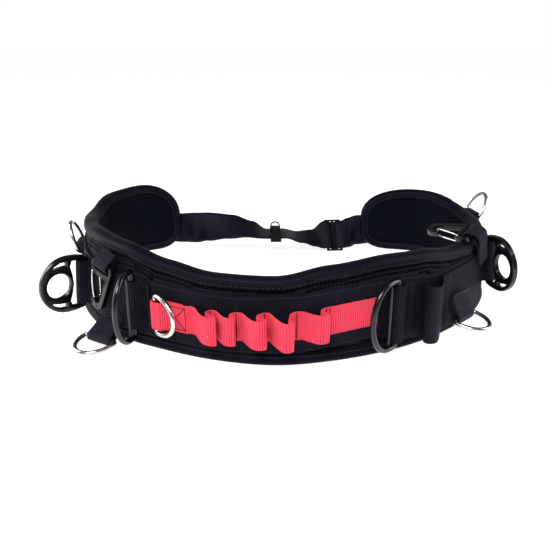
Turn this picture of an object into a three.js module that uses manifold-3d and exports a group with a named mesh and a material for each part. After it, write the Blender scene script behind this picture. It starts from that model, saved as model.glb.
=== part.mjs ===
// A padded photographer's belt, standing on its lower edge as a closed loop.
// Millimetres, +Z up. The middle of the belt's front faces -Y, and the origin is at the middle of its base.
// Places on the belt are given as (s, n, z): s runs along the pad's middle surface from the front centre,
// positive to the right, n is the distance outward from that surface, and z is the height above the base.
import * as THREE from "three";
import { mergeVertices } from "three/addons/utils/BufferGeometryUtils.js";
import Module from "manifold-3d";

// The belt's plan: where its middle surface runs, round the waist from the front centre to the right.
const BOX_CENTRE = { x: 9.63, y: 564.56, z: 0 };
const PLAN = [
  { place: "front centre", x: 0, y: 426 },
  { place: "front right", x: 46, y: 433 },
  { place: "front right", x: 92, y: 449 },
  { place: "hip right", x: 136, y: 474 },
  { place: "hip right", x: 178, y: 512 },
  { place: "side right", x: 207, y: 560 },
  { place: "side right", x: 216, y: 612 },
  { place: "back right", x: 210, y: 662 },
  { place: "back right", x: 186, y: 699 },
  { place: "back right", x: 146, y: 713 },
  { place: "strap right", x: 104, y: 716 },
  { place: "strap", x: 50, y: 712 },
  { place: "strap", x: -5, y: 706 },
  { place: "strap", x: -60, y: 712 },
  { place: "strap left", x: -104, y: 722 },
  { place: "back left", x: -140, y: 716 },
  { place: "back left", x: -172, y: 697 },
  { place: "back left", x: -194, y: 660 },
  { place: "side left", x: -200, y: 612 },
  { place: "side left", x: -193, y: 562 },
  { place: "hip left", x: -174, y: 518 },
  { place: "hip left", x: -143, y: 480 },
  { place: "front left", x: -96, y: 453 },
  { place: "front left", x: -48, y: 434 },
];
const FACETS = 78;

// How far the belt's wall leans outward at the height LEAN_HEIGHT: the two sides draw in at the top.
const LEAN_HEIGHT = 80;
const LEAN = [
  { s: -370, lean: 0 },
  { s: -315, lean: -6 },
  { s: -250, lean: -10 },
  { s: -170, lean: -7 },
  { s: -110, lean: -2 },
  { s: -60, lean: 0 },
  { s: 60, lean: 0 },
  { s: 130, lean: -2 },
  { s: 200, lean: -7 },
  { s: 260, lean: -9 },
  { s: 320, lean: -5 },
  { s: 380, lean: 0 },
];

// Pad: a foam panel with a folded edge binding. The heights are those of the bound edge.
const PAD_THICKNESS = 9;
const PAD_HEIGHTS = [
  { s: -452, top: 80 },
  { s: -403, top: 83 },
  { s: -362, top: 82 },
  { s: -310, top: 77 },
  { s: -245, top: 83 },
  { s: -185, top: 90 },
  { s: -135, top: 89 },
  { s: -95, top: 81 },
  { s: -50, top: 76 },
  { s: 0, top: 76 },
  { s: 45, top: 83 },
  { s: 90, top: 86 },
  { s: 130, top: 84 },
  { s: 180, top: 76 },
  { s: 215, top: 71 },
  { s: 350, top: 70 },
  { s: 415, top: 77 },
  { s: 489, top: 77 },
];
const PAD_END_HEIGHT = 33;
const PAD_END_FLAT = 0.22;
const PAD_END_POWER = 2.2;
const LEFT_END = { s: -452, topRound: 44, bottomRound: 32 };
const RIGHT_END = { s: 489, topRound: 66, bottomRound: 36 };
const END_STEPS = 9;
const BINDING_THICKNESS = 1.2;
const BINDING_INSIDE = 2;
const BINDING_LIP = 7.5;
const BINDING_ROUND = 2.6;
const GAP = 0.3;

// Webbing: bands sewn on the pad's outer face, one over the other.
const WEB = 1.2;
const CARRIER = { low: 12, high: 63, from: -400, to: 430 };
const LAYER_GAP = 0.4;
const CARRIER_N = PAD_THICKNESS / 2 + LAYER_GAP + WEB / 2;
const OVER_N = CARRIER_N + WEB + LAYER_GAP;
const TOP_N = OVER_N + WEB + GAP;

// The bands rise a little along the front, following the pad's upper edge.
const BAND_LIFT = [
  { s: -250, lift: 1 },
  { s: -100, lift: -1 },
  { s: -40, lift: -2 },
  { s: 10, lift: 0 },
  { s: 80, lift: 4.5 },
  { s: 105, lift: 4 },
  { s: 140, lift: -0.5 },
  { s: 250, lift: -1 },
];

const RED = { low: 24.5, high: 49.5, foldBar: -100, foldRound: 3.6, boxEnd: -72, to: 84 };
const RED_LOOPS = [
  { from: -70, to: -51, tip: -42.5, hook: 1.5, depth: 14 },
  { from: -51, to: -30, tip: -28.5, hook: 4, depth: 11 },
  { from: -30, to: -8, tip: -5.5, hook: 5, depth: 16 },
  { from: -8, to: 16, tip: 12, hook: 6, depth: 21 },
  { from: 16, to: 39, tip: 39, hook: 5, depth: 13 },
];

// Large D-rings, whose bar is hinged in the side webbing. The webbing is 52 mm high.
const RIGHT_WEB = { low: 7.5, high: 59.5 };
const LEFT_WEB = { low: 20, high: 63 };
const RIGHT_BAR = { s: 99.5, n: 11.3, foldRound: 3.6, turn: -72 };
const LEFT_BAR = { s: -122.5, n: 11.6, turn: 14 };
const BIG_RING = { halfHeight: 30, straight: 9, depth: 31, wire: 2.4, rod: 8.4, rodWire: 1 };
const RIGHT_WEB_END = 236;
const LEFT_WEB_END = -226;

// Small D-rings of round steel wire.
const SMALL_RING = { halfHeight: 17, straight: 4, depth: 25, wire: 2 };
const RED_RING_TURN = 70;
const RING_SIDES = 8;
const TAB_WIDTH = 25;
const RING_TABS = [
  { name: "low_left", s: -149, n: 11, z: 18, yaw: 8, reach: 15, drop: -11.6, tilt: 8 },
  { name: "low_right", s: 179, n: 10.1, z: 29.5, yaw: 0, reach: 5, drop: -16, tilt: 10 },
  { name: "rear_left", s: -292, n: 7.9, z: 38, yaw: 3, reach: 6, drop: 6, tilt: -68 },
  { name: "rear_right", s: 350, n: 7.9, z: 57, yaw: -3, reach: 6, drop: 6, tilt: -62 },
];

// Side rings of plastic, with a round hole, each hinged in a webbing sleeve.
const SIDE_RING = { thickness: 5.2, bevel: 0.9, hole: 11.6, holeAt: 24.6, sleeve: 41 };
const SLEEVE = { barN: 14.2, round: 5.5, foot: 14 };
const SIDE_RINGS = [
  { name: "left", s: -198, z: 40, turn: 16 },
  { name: "right", s: 247, z: 47, turn: -49 },
];

// Clips: a plastic hook with a webbing slot, closed by a wire gate.
const CLIP_THICKNESS = 5;
const CLIP_BAR = 2;
const CLIP_TAB_WIDTH = 17;
const CLIP_GATE = { x: -10.6, z: -11.3, length: 25.4, halfWidth: 4.1, wire: 0.8, hole: 1.2, turn: 14.5 };
const LEFT_CLIP = { s: -152.5, n: 7.4, z: 79, lean: 13, yaw: 0, pitch: 0, barOut: 5.2, barUp: -11.6 };
const LEFT_CLIP_TAB = [
  { out: 0, up: -1 },
  { out: 0.2, up: -8 },
  { out: 1, up: -13.4 },
  { out: 5.2, up: -16.6 },
  { out: 9.2, up: -14 },
  { out: 9.2, up: -9.6 },
  { out: 4.6, up: -4 },
  { out: 1.5, up: -1.6 },
  { out: 1.5, up: 0.4 },
];
const RIGHT_CLIP = { s: 222, n: 10.6, z: 72, lean: -17, yaw: -8, pitch: 88, barOut: -7.7, barUp: 7.5 };
const RIGHT_CLIP_TAB = [
  { out: 1.5, up: -22 },
  { out: 1.5, up: -8 },
  { out: 2.6, up: 0 },
  { out: 2.4, up: 7 },
  { out: -1.6, up: 11.6 },
  { out: -8, up: 12.4 },
  { out: -13.2, up: 9.6 },
  { out: -12.4, up: 4.6 },
  { out: -8, up: 2.9 },
  { out: -3, up: 3.6 },
  { out: 0.2, up: -1 },
  { out: 0, up: -8 },
  { out: 0, up: -14 },
];

// Waist strap of 38 mm webbing: its middle line and its roll from upright, from pad end to pad end.
const STRAP_WIDTH = 38;
const STRAP_THICKNESS = 1.5;
const STRAP_N = CARRIER_N + WEB / 2 + 2 * GAP + STRAP_THICKNESS / 2;
const STRAP = [
  { s: 396, n: STRAP_N, z: 33, roll: 0 },
  { s: 430, n: STRAP_N, z: 30, roll: 0 },
  { s: 470, n: STRAP_N, z: 23, roll: 0 },
  { s: 493, n: STRAP_N, z: 21, roll: 6 },
  { s: 504, n: 3, z: 19, roll: 30 },
  { s: 512, n: 0, z: 17, roll: 43 },
  { s: 534, n: 0, z: 17, roll: 43 },
  { s: 548, n: 0, z: 14, roll: 74 },
  { s: 566, n: 0, z: 16, roll: 85 },
  { s: 586, n: 0, z: 21.5, roll: 89 },
  { s: 610, n: 0, z: 21.5, roll: 89 },
  { s: 629, n: 0, z: 27, roll: 75 },
  { s: 655, n: 0, z: 29, roll: 55 },
  { s: 680, n: 0, z: 27, roll: 38 },
  { s: 700, n: 2, z: 24, roll: 20 },
  { s: 716, n: STRAP_N, z: 22, roll: 3 },
  { s: 740, n: STRAP_N, z: 25, roll: 0 },
  { s: 800, n: STRAP_N, z: 33, roll: 0 },
];
const STRAP_STEP = 7;
const KEEPER = { s: 597, length: 13, wall: 2, clearance: 0.8, archRound: 5.5, archLeg: 2, archWire: 0.9 };
const ADJUSTER = { s: 523, length: 20, width: 43, thickness: 2, slot: 5.2, bar: 3.2 };

const wasm = await Module();
wasm.setup();

// The belt's own frame. It is straight between facets, so pieces laid one over the other fit.
const beltCurve = new THREE.CatmullRomCurve3(
  PLAN.map((row) => new THREE.Vector3(row.x - BOX_CENTRE.x, row.y - BOX_CENTRE.y, -BOX_CENTRE.z)),
  true,
  "catmullrom",
  0.5,
);
beltCurve.arcLengthDivisions = 1440;
const LOOP_LENGTH = beltCurve.getLength();
const FACET = LOOP_LENGTH / FACETS;
const facetFrames = Array.from({ length: FACETS }, (_, i) => {
  const tangent = beltCurve.getTangentAt(i / FACETS);
  return {
    point: beltCurve.getPointAt(i / FACETS),
    outward: new THREE.Vector3(tangent.y, -tangent.x, 0),
    lean: readTable(LEAN, "lean", i > FACETS / 2 ? (i - FACETS) * FACET : i * FACET) / LEAN_HEIGHT,
  };
});

function beltFrame(s) {
  const place = (((s % LOOP_LENGTH) + LOOP_LENGTH) % LOOP_LENGTH) / FACET;
  const a = facetFrames[Math.floor(place) % FACETS];
  const b = facetFrames[(Math.floor(place) + 1) % FACETS];
  const t = place - Math.floor(place);
  return {
    point: a.point.clone().lerp(b.point, t),
    outward: a.outward.clone().lerp(b.outward, t),
    lean: THREE.MathUtils.lerp(a.lean, b.lean, t),
  };
}

function beltPoint(s, n, z) {
  const { point, outward, lean } = beltFrame(s);
  return point.addScaledVector(outward, n + lean * z).add(new THREE.Vector3(0, 0, z));
}

// A smooth reading of a table: rows have a place s, and the column is named.
function readTable(rows, column, s) {
  const i = THREE.MathUtils.clamp(rows.findLastIndex((row) => row.s <= s), 0, rows.length - 2);
  const t = THREE.MathUtils.clamp((s - rows[i].s) / (rows[i + 1].s - rows[i].s), 0, 1);
  return THREE.MathUtils.lerp(rows[i][column], rows[i + 1][column], t * t * (3 - 2 * t));
}

function fromFaces(points, faces) {
  const geometry = new THREE.BufferGeometry();
  geometry.setAttribute(
    "position",
    new THREE.Float32BufferAttribute(points.flatMap((p) => [p.x, p.y, p.z]), 3),
  );
  let volume = 0;
  faces.forEach(([a, b, c]) => {
    volume += points[a].dot(points[b].clone().cross(points[c]));
  });
  geometry.setIndex(faces.map(([a, b, c]) => (volume < 0 ? [a, c, b] : [a, b, c])).flat());
  return geometry;
}

// A skin through rings of points, closed by end caps, or by joining the last ring to the first.
function loft(rings, closed = false) {
  const count = rings[0].length;
  const faces = [];
  const steps = closed ? rings.length : rings.length - 1;
  for (let i = 0; i < steps; i++) {
    const a = i * count;
    const b = ((i + 1) % rings.length) * count;
    for (let k = 0; k < count; k++) {
      const next = (k + 1) % count;
      faces.push([a + k, a + next, b + next], [a + k, b + next, b + k]);
    }
  }
  if (!closed) {
    const end = (rings.length - 1) * count;
    for (let k = 1; k < count - 1; k++) {
      faces.push([0, k + 1, k], [end, end + k, end + k + 1]);
    }
  }
  return fromFaces(rings.flat(), faces);
}

function sideways(line, i, closed) {
  const last = line.length - 1;
  const before = line[closed ? (i + last) % (last + 1) : Math.max(0, i - 1)];
  const after = line[closed ? (i + 1) % (last + 1) : Math.min(last, i + 1)];
  const alongIn = line[i].clone().sub(before);
  const alongOut = after.clone().sub(line[i]);
  if (alongIn.length() < 1e-6) alongIn.copy(alongOut);
  if (alongOut.length() < 1e-6) alongOut.copy(alongIn);
  const mean = alongIn.normalize().add(alongOut.normalize()).normalize();
  const widen = 1 / Math.max(0.5, mean.dot(alongOut));
  return new THREE.Vector2(-mean.y, mean.x).multiplyScalar(widen);
}

// The two sides of a strip of the given thickness along a line of points.
function stripSides(line, thickness) {
  const move = (side) => line.map((p, i) => p.clone().addScaledVector(sideways(line, i, false), side));
  return { left: move(thickness / 2), right: move(-thickness / 2) };
}

// A closed strip of quads between two edges, each an array of [near, far] point pairs.
function ribbon(line, thickness, place) {
  const { left, right } = stripSides(line, thickness);
  const rings = line.map((_, i) => [
    place(left[i], 0),
    place(right[i], 0),
    place(right[i], 1),
    place(left[i], 1),
  ]);
  return loft(rings);
}

// Adds points to a line of (s, n) wherever it crosses a facet's edge.
function withFacetEdges(line) {
  const full = [line[0]];
  line.slice(1).forEach((p, i) => {
    const from = line[i];
    const cuts = [];
    const low = Math.ceil(Math.min(from.x, p.x) / FACET + 0.05);
    const high = Math.floor(Math.max(from.x, p.x) / FACET - 0.05);
    for (let k = low; k <= high; k++) cuts.push((k * FACET - from.x) / (p.x - from.x));
    cuts.sort((a, b) => a - b).forEach((t) => full.push(from.clone().lerp(p, t)));
    full.push(p);
  });
  return full;
}

// Webbing standing on edge along the belt, through a line of (s, n).
function bandAlongBelt(line, low, high, thickness = WEB) {
  return ribbon(withFacetEdges(line), thickness, (p, side) =>
    beltPoint(p.x, p.y, (side ? high : low) + readTable(BAND_LIFT, "lift", p.x)),
  );
}

function points2(rows) {
  return rows.map(([x, y]) => new THREE.Vector2(x, y));
}

function arc(cx, cy, radius, fromDegrees, toDegrees, steps) {
  return Array.from({ length: steps + 1 }, (_, i) => {
    const turn = THREE.MathUtils.degToRad(fromDegrees + ((toDegrees - fromDegrees) * i) / steps);
    return new THREE.Vector2(cx + radius * Math.cos(turn), cy + radius * Math.sin(turn));
  });
}

function smoothLine(rows, count) {
  return new THREE.SplineCurve(points2(rows)).getSpacedPoints(count);
}

// Round wire along a flat closed loop, drawn in the XZ plane.
function wireLoop(loop, radius, sides = RING_SIDES) {
  const rings = loop.map((p, i) => {
    const out = sideways(loop, i, true);
    return Array.from({ length: sides }, (_, k) => {
      const turn = (2 * Math.PI * (k + 0.5)) / sides;
      const r = radius * Math.cos(turn);
      return new THREE.Vector3(p.x + out.x * r, radius * Math.sin(turn), p.y + out.y * r);
    });
  });
  return loft(rings, true);
}

// A D-ring drawn with its bar upright at x = 0, and its bow towards +x.
function dRing({ halfHeight, straight, depth, wire }) {
  const bow = arc(0, 0, 1, 90, -90, 12).map(
    (p) => new THREE.Vector2(straight + (depth - straight) * p.x, halfHeight * p.y),
  );
  const corner = 2.5;
  const loop = [
    new THREE.Vector2(0, -halfHeight + corner),
    new THREE.Vector2(0, halfHeight - corner),
    new THREE.Vector2(corner * 0.3, halfHeight - corner * 0.3),
    new THREE.Vector2(corner, halfHeight),
    ...bow,
    new THREE.Vector2(corner, -halfHeight),
    new THREE.Vector2(corner * 0.3, -halfHeight + corner * 0.3),
  ];
  return wireLoop(loop, wire);
}

// Boolean cuts and joins of closed meshes.
function toSolid(geometry) {
  const plain = geometry.clone();
  plain.deleteAttribute("normal");
  plain.deleteAttribute("uv");
  const merged = mergeVertices(plain, 1e-4);
  return new wasm.Manifold(
    new wasm.Mesh({
      numProp: 3,
      vertProperties: merged.attributes.position.array,
      triVerts: new Uint32Array(merged.index.array),
    }),
  );
}

function toGeometry(solid) {
  const mesh = solid.getMesh();
  const geometry = new THREE.BufferGeometry();
  geometry.setAttribute("position", new THREE.BufferAttribute(mesh.vertProperties, 3));
  geometry.setIndex(new THREE.BufferAttribute(mesh.triVerts, 1));
  return geometry;
}

// A plate drawn in the XZ plane, centred on y = 0.
function plate(outline, thickness, holes = [], bevel = 0) {
  const shape = new THREE.Shape(outline);
  holes.forEach((hole) => shape.holes.push(new THREE.Path(hole)));
  const geometry = new THREE.ExtrudeGeometry(shape, {
    depth: thickness - 2 * bevel,
    bevelEnabled: bevel > 0,
    bevelThickness: bevel,
    bevelSize: bevel,
    bevelOffset: -bevel,
    bevelSegments: 1,
    curveSegments: 1,
  });
  geometry.translate(0, 0, bevel - thickness / 2);
  geometry.rotateX(Math.PI / 2);
  return geometry;
}

const FINISHES = {
  mesh_fabric: { color: 0x17181c, roughness: 0.95 },
  binding: { color: 0x1b1c20, roughness: 0.9 },
  black_webbing: { color: 0x15161a, roughness: 0.85 },
  red_webbing: { color: 0xd8303c, roughness: 0.8 },
  steel: { color: 0xc9c6c0, roughness: 0.2, metalness: 1 },
  black_plastic: { color: 0x141417, roughness: 0.4 },
};
const materials = Object.fromEntries(
  Object.entries(FINISHES).map(([name, look]) => [
    name,
    new THREE.MeshStandardMaterial({ metalness: 0, ...look }),
  ]),
);

const belt = new THREE.Group();

function addPiece(name, geometry, finish, parent = belt) {
  const mesh = new THREE.Mesh(geometry, materials[finish].clone());
  mesh.name = name;
  parent.add(mesh);
  return mesh;
}

// A group at a place on the belt: its +x runs along the belt and its -y points outward.
function station(s, n, z) {
  const group = new THREE.Group();
  const { outward, lean } = beltFrame(s);
  group.position.copy(beltPoint(s, n, z));
  group.rotation.order = "ZYX";
  group.rotation.z = Math.atan2(outward.x, -outward.y);
  group.rotation.x = Math.atan(lean);
  belt.add(group);
  return group;
}

function turnedGroup(parent, x, y, z) {
  const group = new THREE.Group();
  group.rotation.set(...[x, y, z].map(THREE.MathUtils.degToRad));
  parent.add(group);
  return group;
}

// Pad and binding

function endShrink(distance, round) {
  const t = THREE.MathUtils.clamp(distance / round, 0, 1);
  const curve = (1 - (1 - t) ** PAD_END_POWER) ** (1 / PAD_END_POWER);
  return PAD_END_FLAT + (1 - PAD_END_FLAT) * curve;
}

function padEdges(s) {
  const left = s - LEFT_END.s;
  const right = RIGHT_END.s - s;
  const top = Math.min(endShrink(left, LEFT_END.topRound), endShrink(right, RIGHT_END.topRound));
  const bottom = Math.min(
    endShrink(left, LEFT_END.bottomRound),
    endShrink(right, RIGHT_END.bottomRound),
  );
  return {
    top: PAD_END_HEIGHT + (readTable(PAD_HEIGHTS, "top", s) - PAD_END_HEIGHT) * top,
    bottom: PAD_END_HEIGHT * (1 - bottom),
  };
}

function padStations() {
  const near = (round) =>
    Array.from({ length: END_STEPS }, (_, i) => round * (1 - Math.cos((i / END_STEPS) * (Math.PI / 2))));
  const leftRound = Math.max(LEFT_END.topRound, LEFT_END.bottomRound);
  const rightRound = Math.max(RIGHT_END.topRound, RIGHT_END.bottomRound);
  const ends = [
    ...near(leftRound).map((d) => LEFT_END.s + d),
    ...near(rightRound).map((d) => RIGHT_END.s - d).reverse(),
  ];
  const facetEdges = [];
  for (let k = Math.ceil(LEFT_END.s / FACET); k * FACET < RIGHT_END.s; k++) facetEdges.push(k * FACET);
  const far = facetEdges.filter((s) => ends.every((e) => Math.abs(e - s) > 1.2));
  return [...ends, ...far].sort((a, b) => a - b);
}

// The pad's bound edge as one loop of (s, z): along the bottom, and back along the top.
function edgeLoop(stations) {
  const bottom = stations.map((s) => new THREE.Vector2(s, padEdges(s).bottom));
  const top = stations.map((s) => new THREE.Vector2(s, padEdges(s).top));
  return [...bottom, ...top.reverse()];
}

function insetLoop(loop, inset) {
  return loop.map((p, i) => p.clone().addScaledVector(sideways(loop, i, true), inset));
}

const edge = edgeLoop(padStations());

function makePad() {
  const half = PAD_THICKNESS / 2;
  const foam = insetLoop(edge, BINDING_INSIDE + GAP);
  const last = edge.length - 1;
  const rings = padStations().map((_, i) => [
    beltPoint(foam[i].x, half, foam[i].y),
    beltPoint(foam[last - i].x, half, foam[last - i].y),
    beltPoint(foam[last - i].x, -half, foam[last - i].y),
    beltPoint(foam[i].x, -half, foam[i].y),
  ]);
  addPiece("belt_pad", loft(rings), "mesh_fabric");
}

function makeBinding() {
  const inner = PAD_THICKNESS / 2 + GAP;
  const outer = inner + BINDING_THICKNESS;
  const section = [
    { inset: BINDING_LIP, n: outer },
    { inset: BINDING_ROUND, n: outer },
    { inset: 0, n: outer - BINDING_ROUND },
    { inset: 0, n: BINDING_ROUND - outer },
    { inset: BINDING_ROUND, n: -outer },
    { inset: BINDING_LIP, n: -outer },
    { inset: BINDING_LIP, n: -inner },
    { inset: BINDING_INSIDE, n: -inner },
    { inset: BINDING_INSIDE, n: inner },
    { inset: BINDING_LIP, n: inner },
  ];
  const loops = section.map((corner) => insetLoop(edge, corner.inset));
  const rings = edge.map((_, i) =>
    section.map((corner, k) => beltPoint(loops[k][i].x, corner.n, loops[k][i].y)),
  );
  addPiece("edge_binding", loft(rings, true), "binding");
}

// Bands on the outside

function makeCarrier() {
  const line = points2([
    [CARRIER.from, CARRIER_N],
    [CARRIER.to, CARRIER_N],
  ]);
  addPiece("carrier_webbing", bandAlongBelt(line, CARRIER.low, CARRIER.high), "black_webbing");
}

// One pleated loop: it rises to the right, turns over at its tip and comes back to the next seam.
function redLoop({ from, to, tip, hook, depth }) {
  const rise = tip - from;
  const back = to - hook;
  return [
    [from + rise * 0.2, depth * 0.06],
    [from + rise * 0.42, depth * 0.52],
    [from + rise * 0.62, depth * 0.9],
    [tip - 4.5, depth],
    [tip - 0.4, depth * 0.88],
    [tip - 3, depth * 0.66],
    [back, depth * 0.44],
    [back + hook * 0.1, depth * 0.2],
    [to - hook * 0.4 + 0.4, 0.4],
    [to + 1, 0],
  ].map(([s, rise2]) => [s, OVER_N + rise2]);
}

function makeRedWebbing() {
  const barN = OVER_N + RED.foldRound;
  const fold = arc(RED.foldBar, barN, RED.foldRound, -90, -270, 8);
  const sleeve = points2([
    [RED.foldBar + 6, OVER_N + 7.1],
    [RED.foldBar + 11, OVER_N + 3.4],
    [RED.foldBar + 15, TOP_N],
    [RED.boxEnd, TOP_N],
    [RED.boxEnd + 3, OVER_N + 0.2],
  ]);
  const loops = smoothLine(
    [[RED_LOOPS[0].from, OVER_N], ...RED_LOOPS.flatMap(redLoop), [RED_LOOPS[4].to + 5, OVER_N]],
    110,
  );
  const line = [
    new THREE.Vector2(RED.boxEnd - 3.5, OVER_N),
    ...fold,
    ...sleeve,
    ...loops.slice(1),
    new THREE.Vector2(RED.to, OVER_N),
  ];
  addPiece("red_webbing", bandAlongBelt(line, RED.low, RED.high), "red_webbing");
}

function makeRightWebbing() {
  const { s, n, foldRound } = RIGHT_BAR;
  const fold = arc(s, n, foldRound, -90, -270, 8);
  const toolLoop = smoothLine(
    [
      [126, TOP_N],
      [130.5, TOP_N + 0.6],
      [128.5, TOP_N + 4.5],
      [123.5, TOP_N + 10],
      [123.5, TOP_N + 14],
      [128, TOP_N + 15.6],
      [134, TOP_N + 14.5],
      [142, TOP_N + 9],
      [150, TOP_N + 2.4],
      [156, TOP_N],
    ],
    26,
  );
  const line = [
    new THREE.Vector2(s + 20, OVER_N),
    ...fold,
    ...points2([
      [s + 4.5, n + 3.9],
      [s + 9, TOP_N + 1.6],
      [s + 13, TOP_N],
    ]),
    ...toolLoop,
    ...points2([
      [162, TOP_N],
      [169, OVER_N + 0.1],
      [RIGHT_WEB_END, OVER_N],
    ]),
  ];
  addPiece("right_side_webbing", bandAlongBelt(line, RIGHT_WEB.low, RIGHT_WEB.high), "black_webbing");
}

function makeLeftWebbing() {
  const tunnel = smoothLine(
    [
      [-111, OVER_N],
      [-113.5, OVER_N + 1.6],
      [-116.2, OVER_N + 5.4],
      [-119.5, OVER_N + 7.8],
      [-123.5, OVER_N + 8],
      [-127, OVER_N + 6.4],
      [-128, OVER_N + 3.6],
      [-129, OVER_N + 0.8],
      [-132, OVER_N],
    ],
    20,
  );
  const line = [
    new THREE.Vector2(-107.8, OVER_N),
    ...tunnel,
    new THREE.Vector2(LEFT_WEB_END, OVER_N),
  ];
  addPiece("left_side_webbing", bandAlongBelt(line, LEFT_WEB.low, LEFT_WEB.high), "black_webbing");
}

// Hinged rings: each hangs on its upright bar, and its turn is measured from straight outward.

function hingedRing(name, bar, z, turn, geometry, finish) {
  const place = station(bar.s, bar.n, z);
  const swing = turnedGroup(place, 0, 0, -90 + turn);
  addPiece(name, geometry, finish, swing);
  return swing;
}

function makeBigRing(name, bar, web) {
  const z = (web.low + web.high) / 2 + readTable(BAND_LIFT, "lift", bar.s);
  const swing = hingedRing(`${name}_buckle_ring`, bar, z, bar.turn, dRing(BIG_RING), "black_plastic");
  const half = BIG_RING.halfHeight - BIG_RING.wire - GAP;
  const ends = points2([
    [-half, 0],
    [half, 0],
  ]);
  const rings = ends.map((p) =>
    Array.from({ length: RING_SIDES }, (_, k) => {
      const turn = (2 * Math.PI * k) / RING_SIDES;
      const r = BIG_RING.rodWire;
      return new THREE.Vector3(BIG_RING.rod + r * Math.cos(turn), r * Math.sin(turn), p.x);
    }),
  );
  addPiece(`${name}_buckle_rod`, loft(rings), "steel", swing);
}

function makeRedRing() {
  const z = (RED.low + RED.high) / 2 + readTable(BAND_LIFT, "lift", RED.foldBar);
  const bar = { s: RED.foldBar, n: OVER_N + RED.foldRound };
  hingedRing("red_webbing_ring", bar, z, RED_RING_TURN, dRing(SMALL_RING), "steel");
}

// Side rings: the bar is at x = 0 and the round hole towards +x.
function sideRingGeometry() {
  const { thickness, bevel, hole, holeAt } = SIDE_RING;
  const top = points2([
    [-2.4, 22.5],
    [-0.5, 25.4],
    [8, 26.8],
  ]);
  const outline = [
    ...arc(15.5, 0, 27, -88, 88, 16),
    ...top.toReversed(),
    ...top.map((p) => new THREE.Vector2(p.x, -p.y)),
  ];
  const slot = points2([
    [2.3, -21.6],
    [11.5, -21.6],
    [13.4, -16.5],
    [11.2, -9],
    [9.8, 0],
    [11.2, 9],
    [13.4, 16.5],
    [11.5, 21.6],
    [2.3, 21.6],
  ]);
  const crescent = points2([
    [17, 18],
    [17.5, 21.8],
    [23, 21.4],
    [29, 18.6],
    [31.4, 16],
    [24, 17.4],
  ]);
  const mirrored = crescent.map((p) => new THREE.Vector2(p.x, -p.y));
  const holes = [arc(holeAt, 0, hole, 0, 345, 23), slot, crescent, mirrored];
  return plate(outline, thickness, holes, bevel);
}

function makeSideRing({ name, s, z, turn }) {
  const { barN, round, foot } = SLEEVE;
  const rise = points2([
    [-foot, TOP_N],
    [-round - 2.6, TOP_N],
    [-round - 0.6, TOP_N + 1.2],
    [-round, TOP_N + 3.2],
  ]);
  const bend = arc(0, barN, round, 180, 0, 10);
  const path = [...rise, ...bend, ...rise.toReversed().map((p) => new THREE.Vector2(-p.x, p.y))];
  const along = path.map((p) => new THREE.Vector2(p.x + s, p.y));
  const low = z - SIDE_RING.sleeve / 2;
  const sleeve = ribbon(withFacetEdges(along), WEB, (p, side) =>
    beltPoint(p.x, p.y, low + side * SIDE_RING.sleeve),
  );
  addPiece(`${name}_ring_sleeve`, sleeve, "black_webbing");
  hingedRing(`${name}_side_ring`, { s, n: barN }, z, turn, sideRingGeometry(), "black_plastic");
}

// Rings on free tabs: the tab leaves the belt, folds round the ring's bar and comes back.

function tabStrip(rows, width, parent, name) {
  const line = smoothLine(rows, 18);
  const geometry = ribbon(line, WEB, (p, side) =>
    new THREE.Vector3((side - 0.5) * width, -p.x, p.y),
  );
  return addPiece(name, geometry, "black_webbing", parent);
}

function makeRingTab({ name, s, n, z, yaw, reach, drop, tilt }) {
  const place = turnedGroup(station(s, n, z), 0, 0, yaw);
  const way = new THREE.Vector2(reach, drop).normalize();
  const side = new THREE.Vector2(-way.y, way.x);
  const at = (along, across) => [
    reach + way.x * along + side.x * across,
    drop + way.y * along + side.y * across,
  ];
  const up = Math.sign(drop);
  const layer = WEB + GAP;
  const rows = [
    [0, -up * 7],
    [0, 0],
    at(-5, 3.2 * up),
    at(0, 3.9 * up),
    at(3.8, 0),
    at(0, -3.9 * up),
    at(-5, -3.4 * up),
    [layer, -up * 1.5],
    [layer, -up * 8],
  ];
  tabStrip(rows, TAB_WIDTH, place, `${name}_tab`);
  const tilted = turnedGroup(place, tilt, 0, 0);
  tilted.position.set(0, -reach, drop);
  const laid = turnedGroup(tilted, 0, 90, 0);
  const geometry = dRing(SMALL_RING);
  geometry.rotateZ(-Math.PI / 2);
  addPiece(`${name}_ring`, geometry, "steel", laid);
}

// Clips. The hook is drawn in the XZ plane, hanging from z = 0, with its gate on the -x side.

function clipHookGeometry() {
  const outline = points2([
    [-11, 0],
    [-13.2, -2.2],
    [-13.2, -12],
    [-12, -13.6],
    [-8, -13.6],
    [6, -13.6],
    [2.2, -37.5],
    [-0.4, -40.2],
    [-3.6, -40.2],
    [-5.6, -38.2],
    [-6, -33.4],
    [-9.6, -33.4],
    [-9.4, -41],
    [-6.6, -45],
    [-2.6, -46],
    [2.2, -45.6],
    [5.6, -42.6],
    [13.2, -5],
    [12.6, -1.4],
    [10.4, 0],
  ]);
  const slot = points2([
    [-9.6, -4],
    [-10.4, -4.8],
    [-10.4, -8.2],
    [-9.6, -9],
    [9, -9],
    [10, -8],
    [10.4, -4.8],
    [9.6, -4],
  ]);
  const tipHole = arc(-1, -43, 1, 0, 300, 5);
  const body = toSolid(plate(outline, CLIP_THICKNESS, [slot, tipHole]));
  const drill = plate(arc(CLIP_GATE.x, CLIP_GATE.z, CLIP_GATE.hole, 0, 315, 7), 12);
  return toGeometry(body.subtract(toSolid(drill)));
}

function clipGateGeometry() {
  const { length, halfWidth, wire } = CLIP_GATE;
  const loop = points2([
    [-halfWidth, -1.2],
    [-halfWidth + 1.2, 0],
    [halfWidth - 1.2, 0],
    [halfWidth, -1.2],
    [halfWidth, -length + 1.6],
    [halfWidth - 1.6, -length],
    [-halfWidth + 1.6, -length],
    [-halfWidth, -length + 1.6],
  ]);
  return wireLoop(loop, wire, 6);
}

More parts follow.
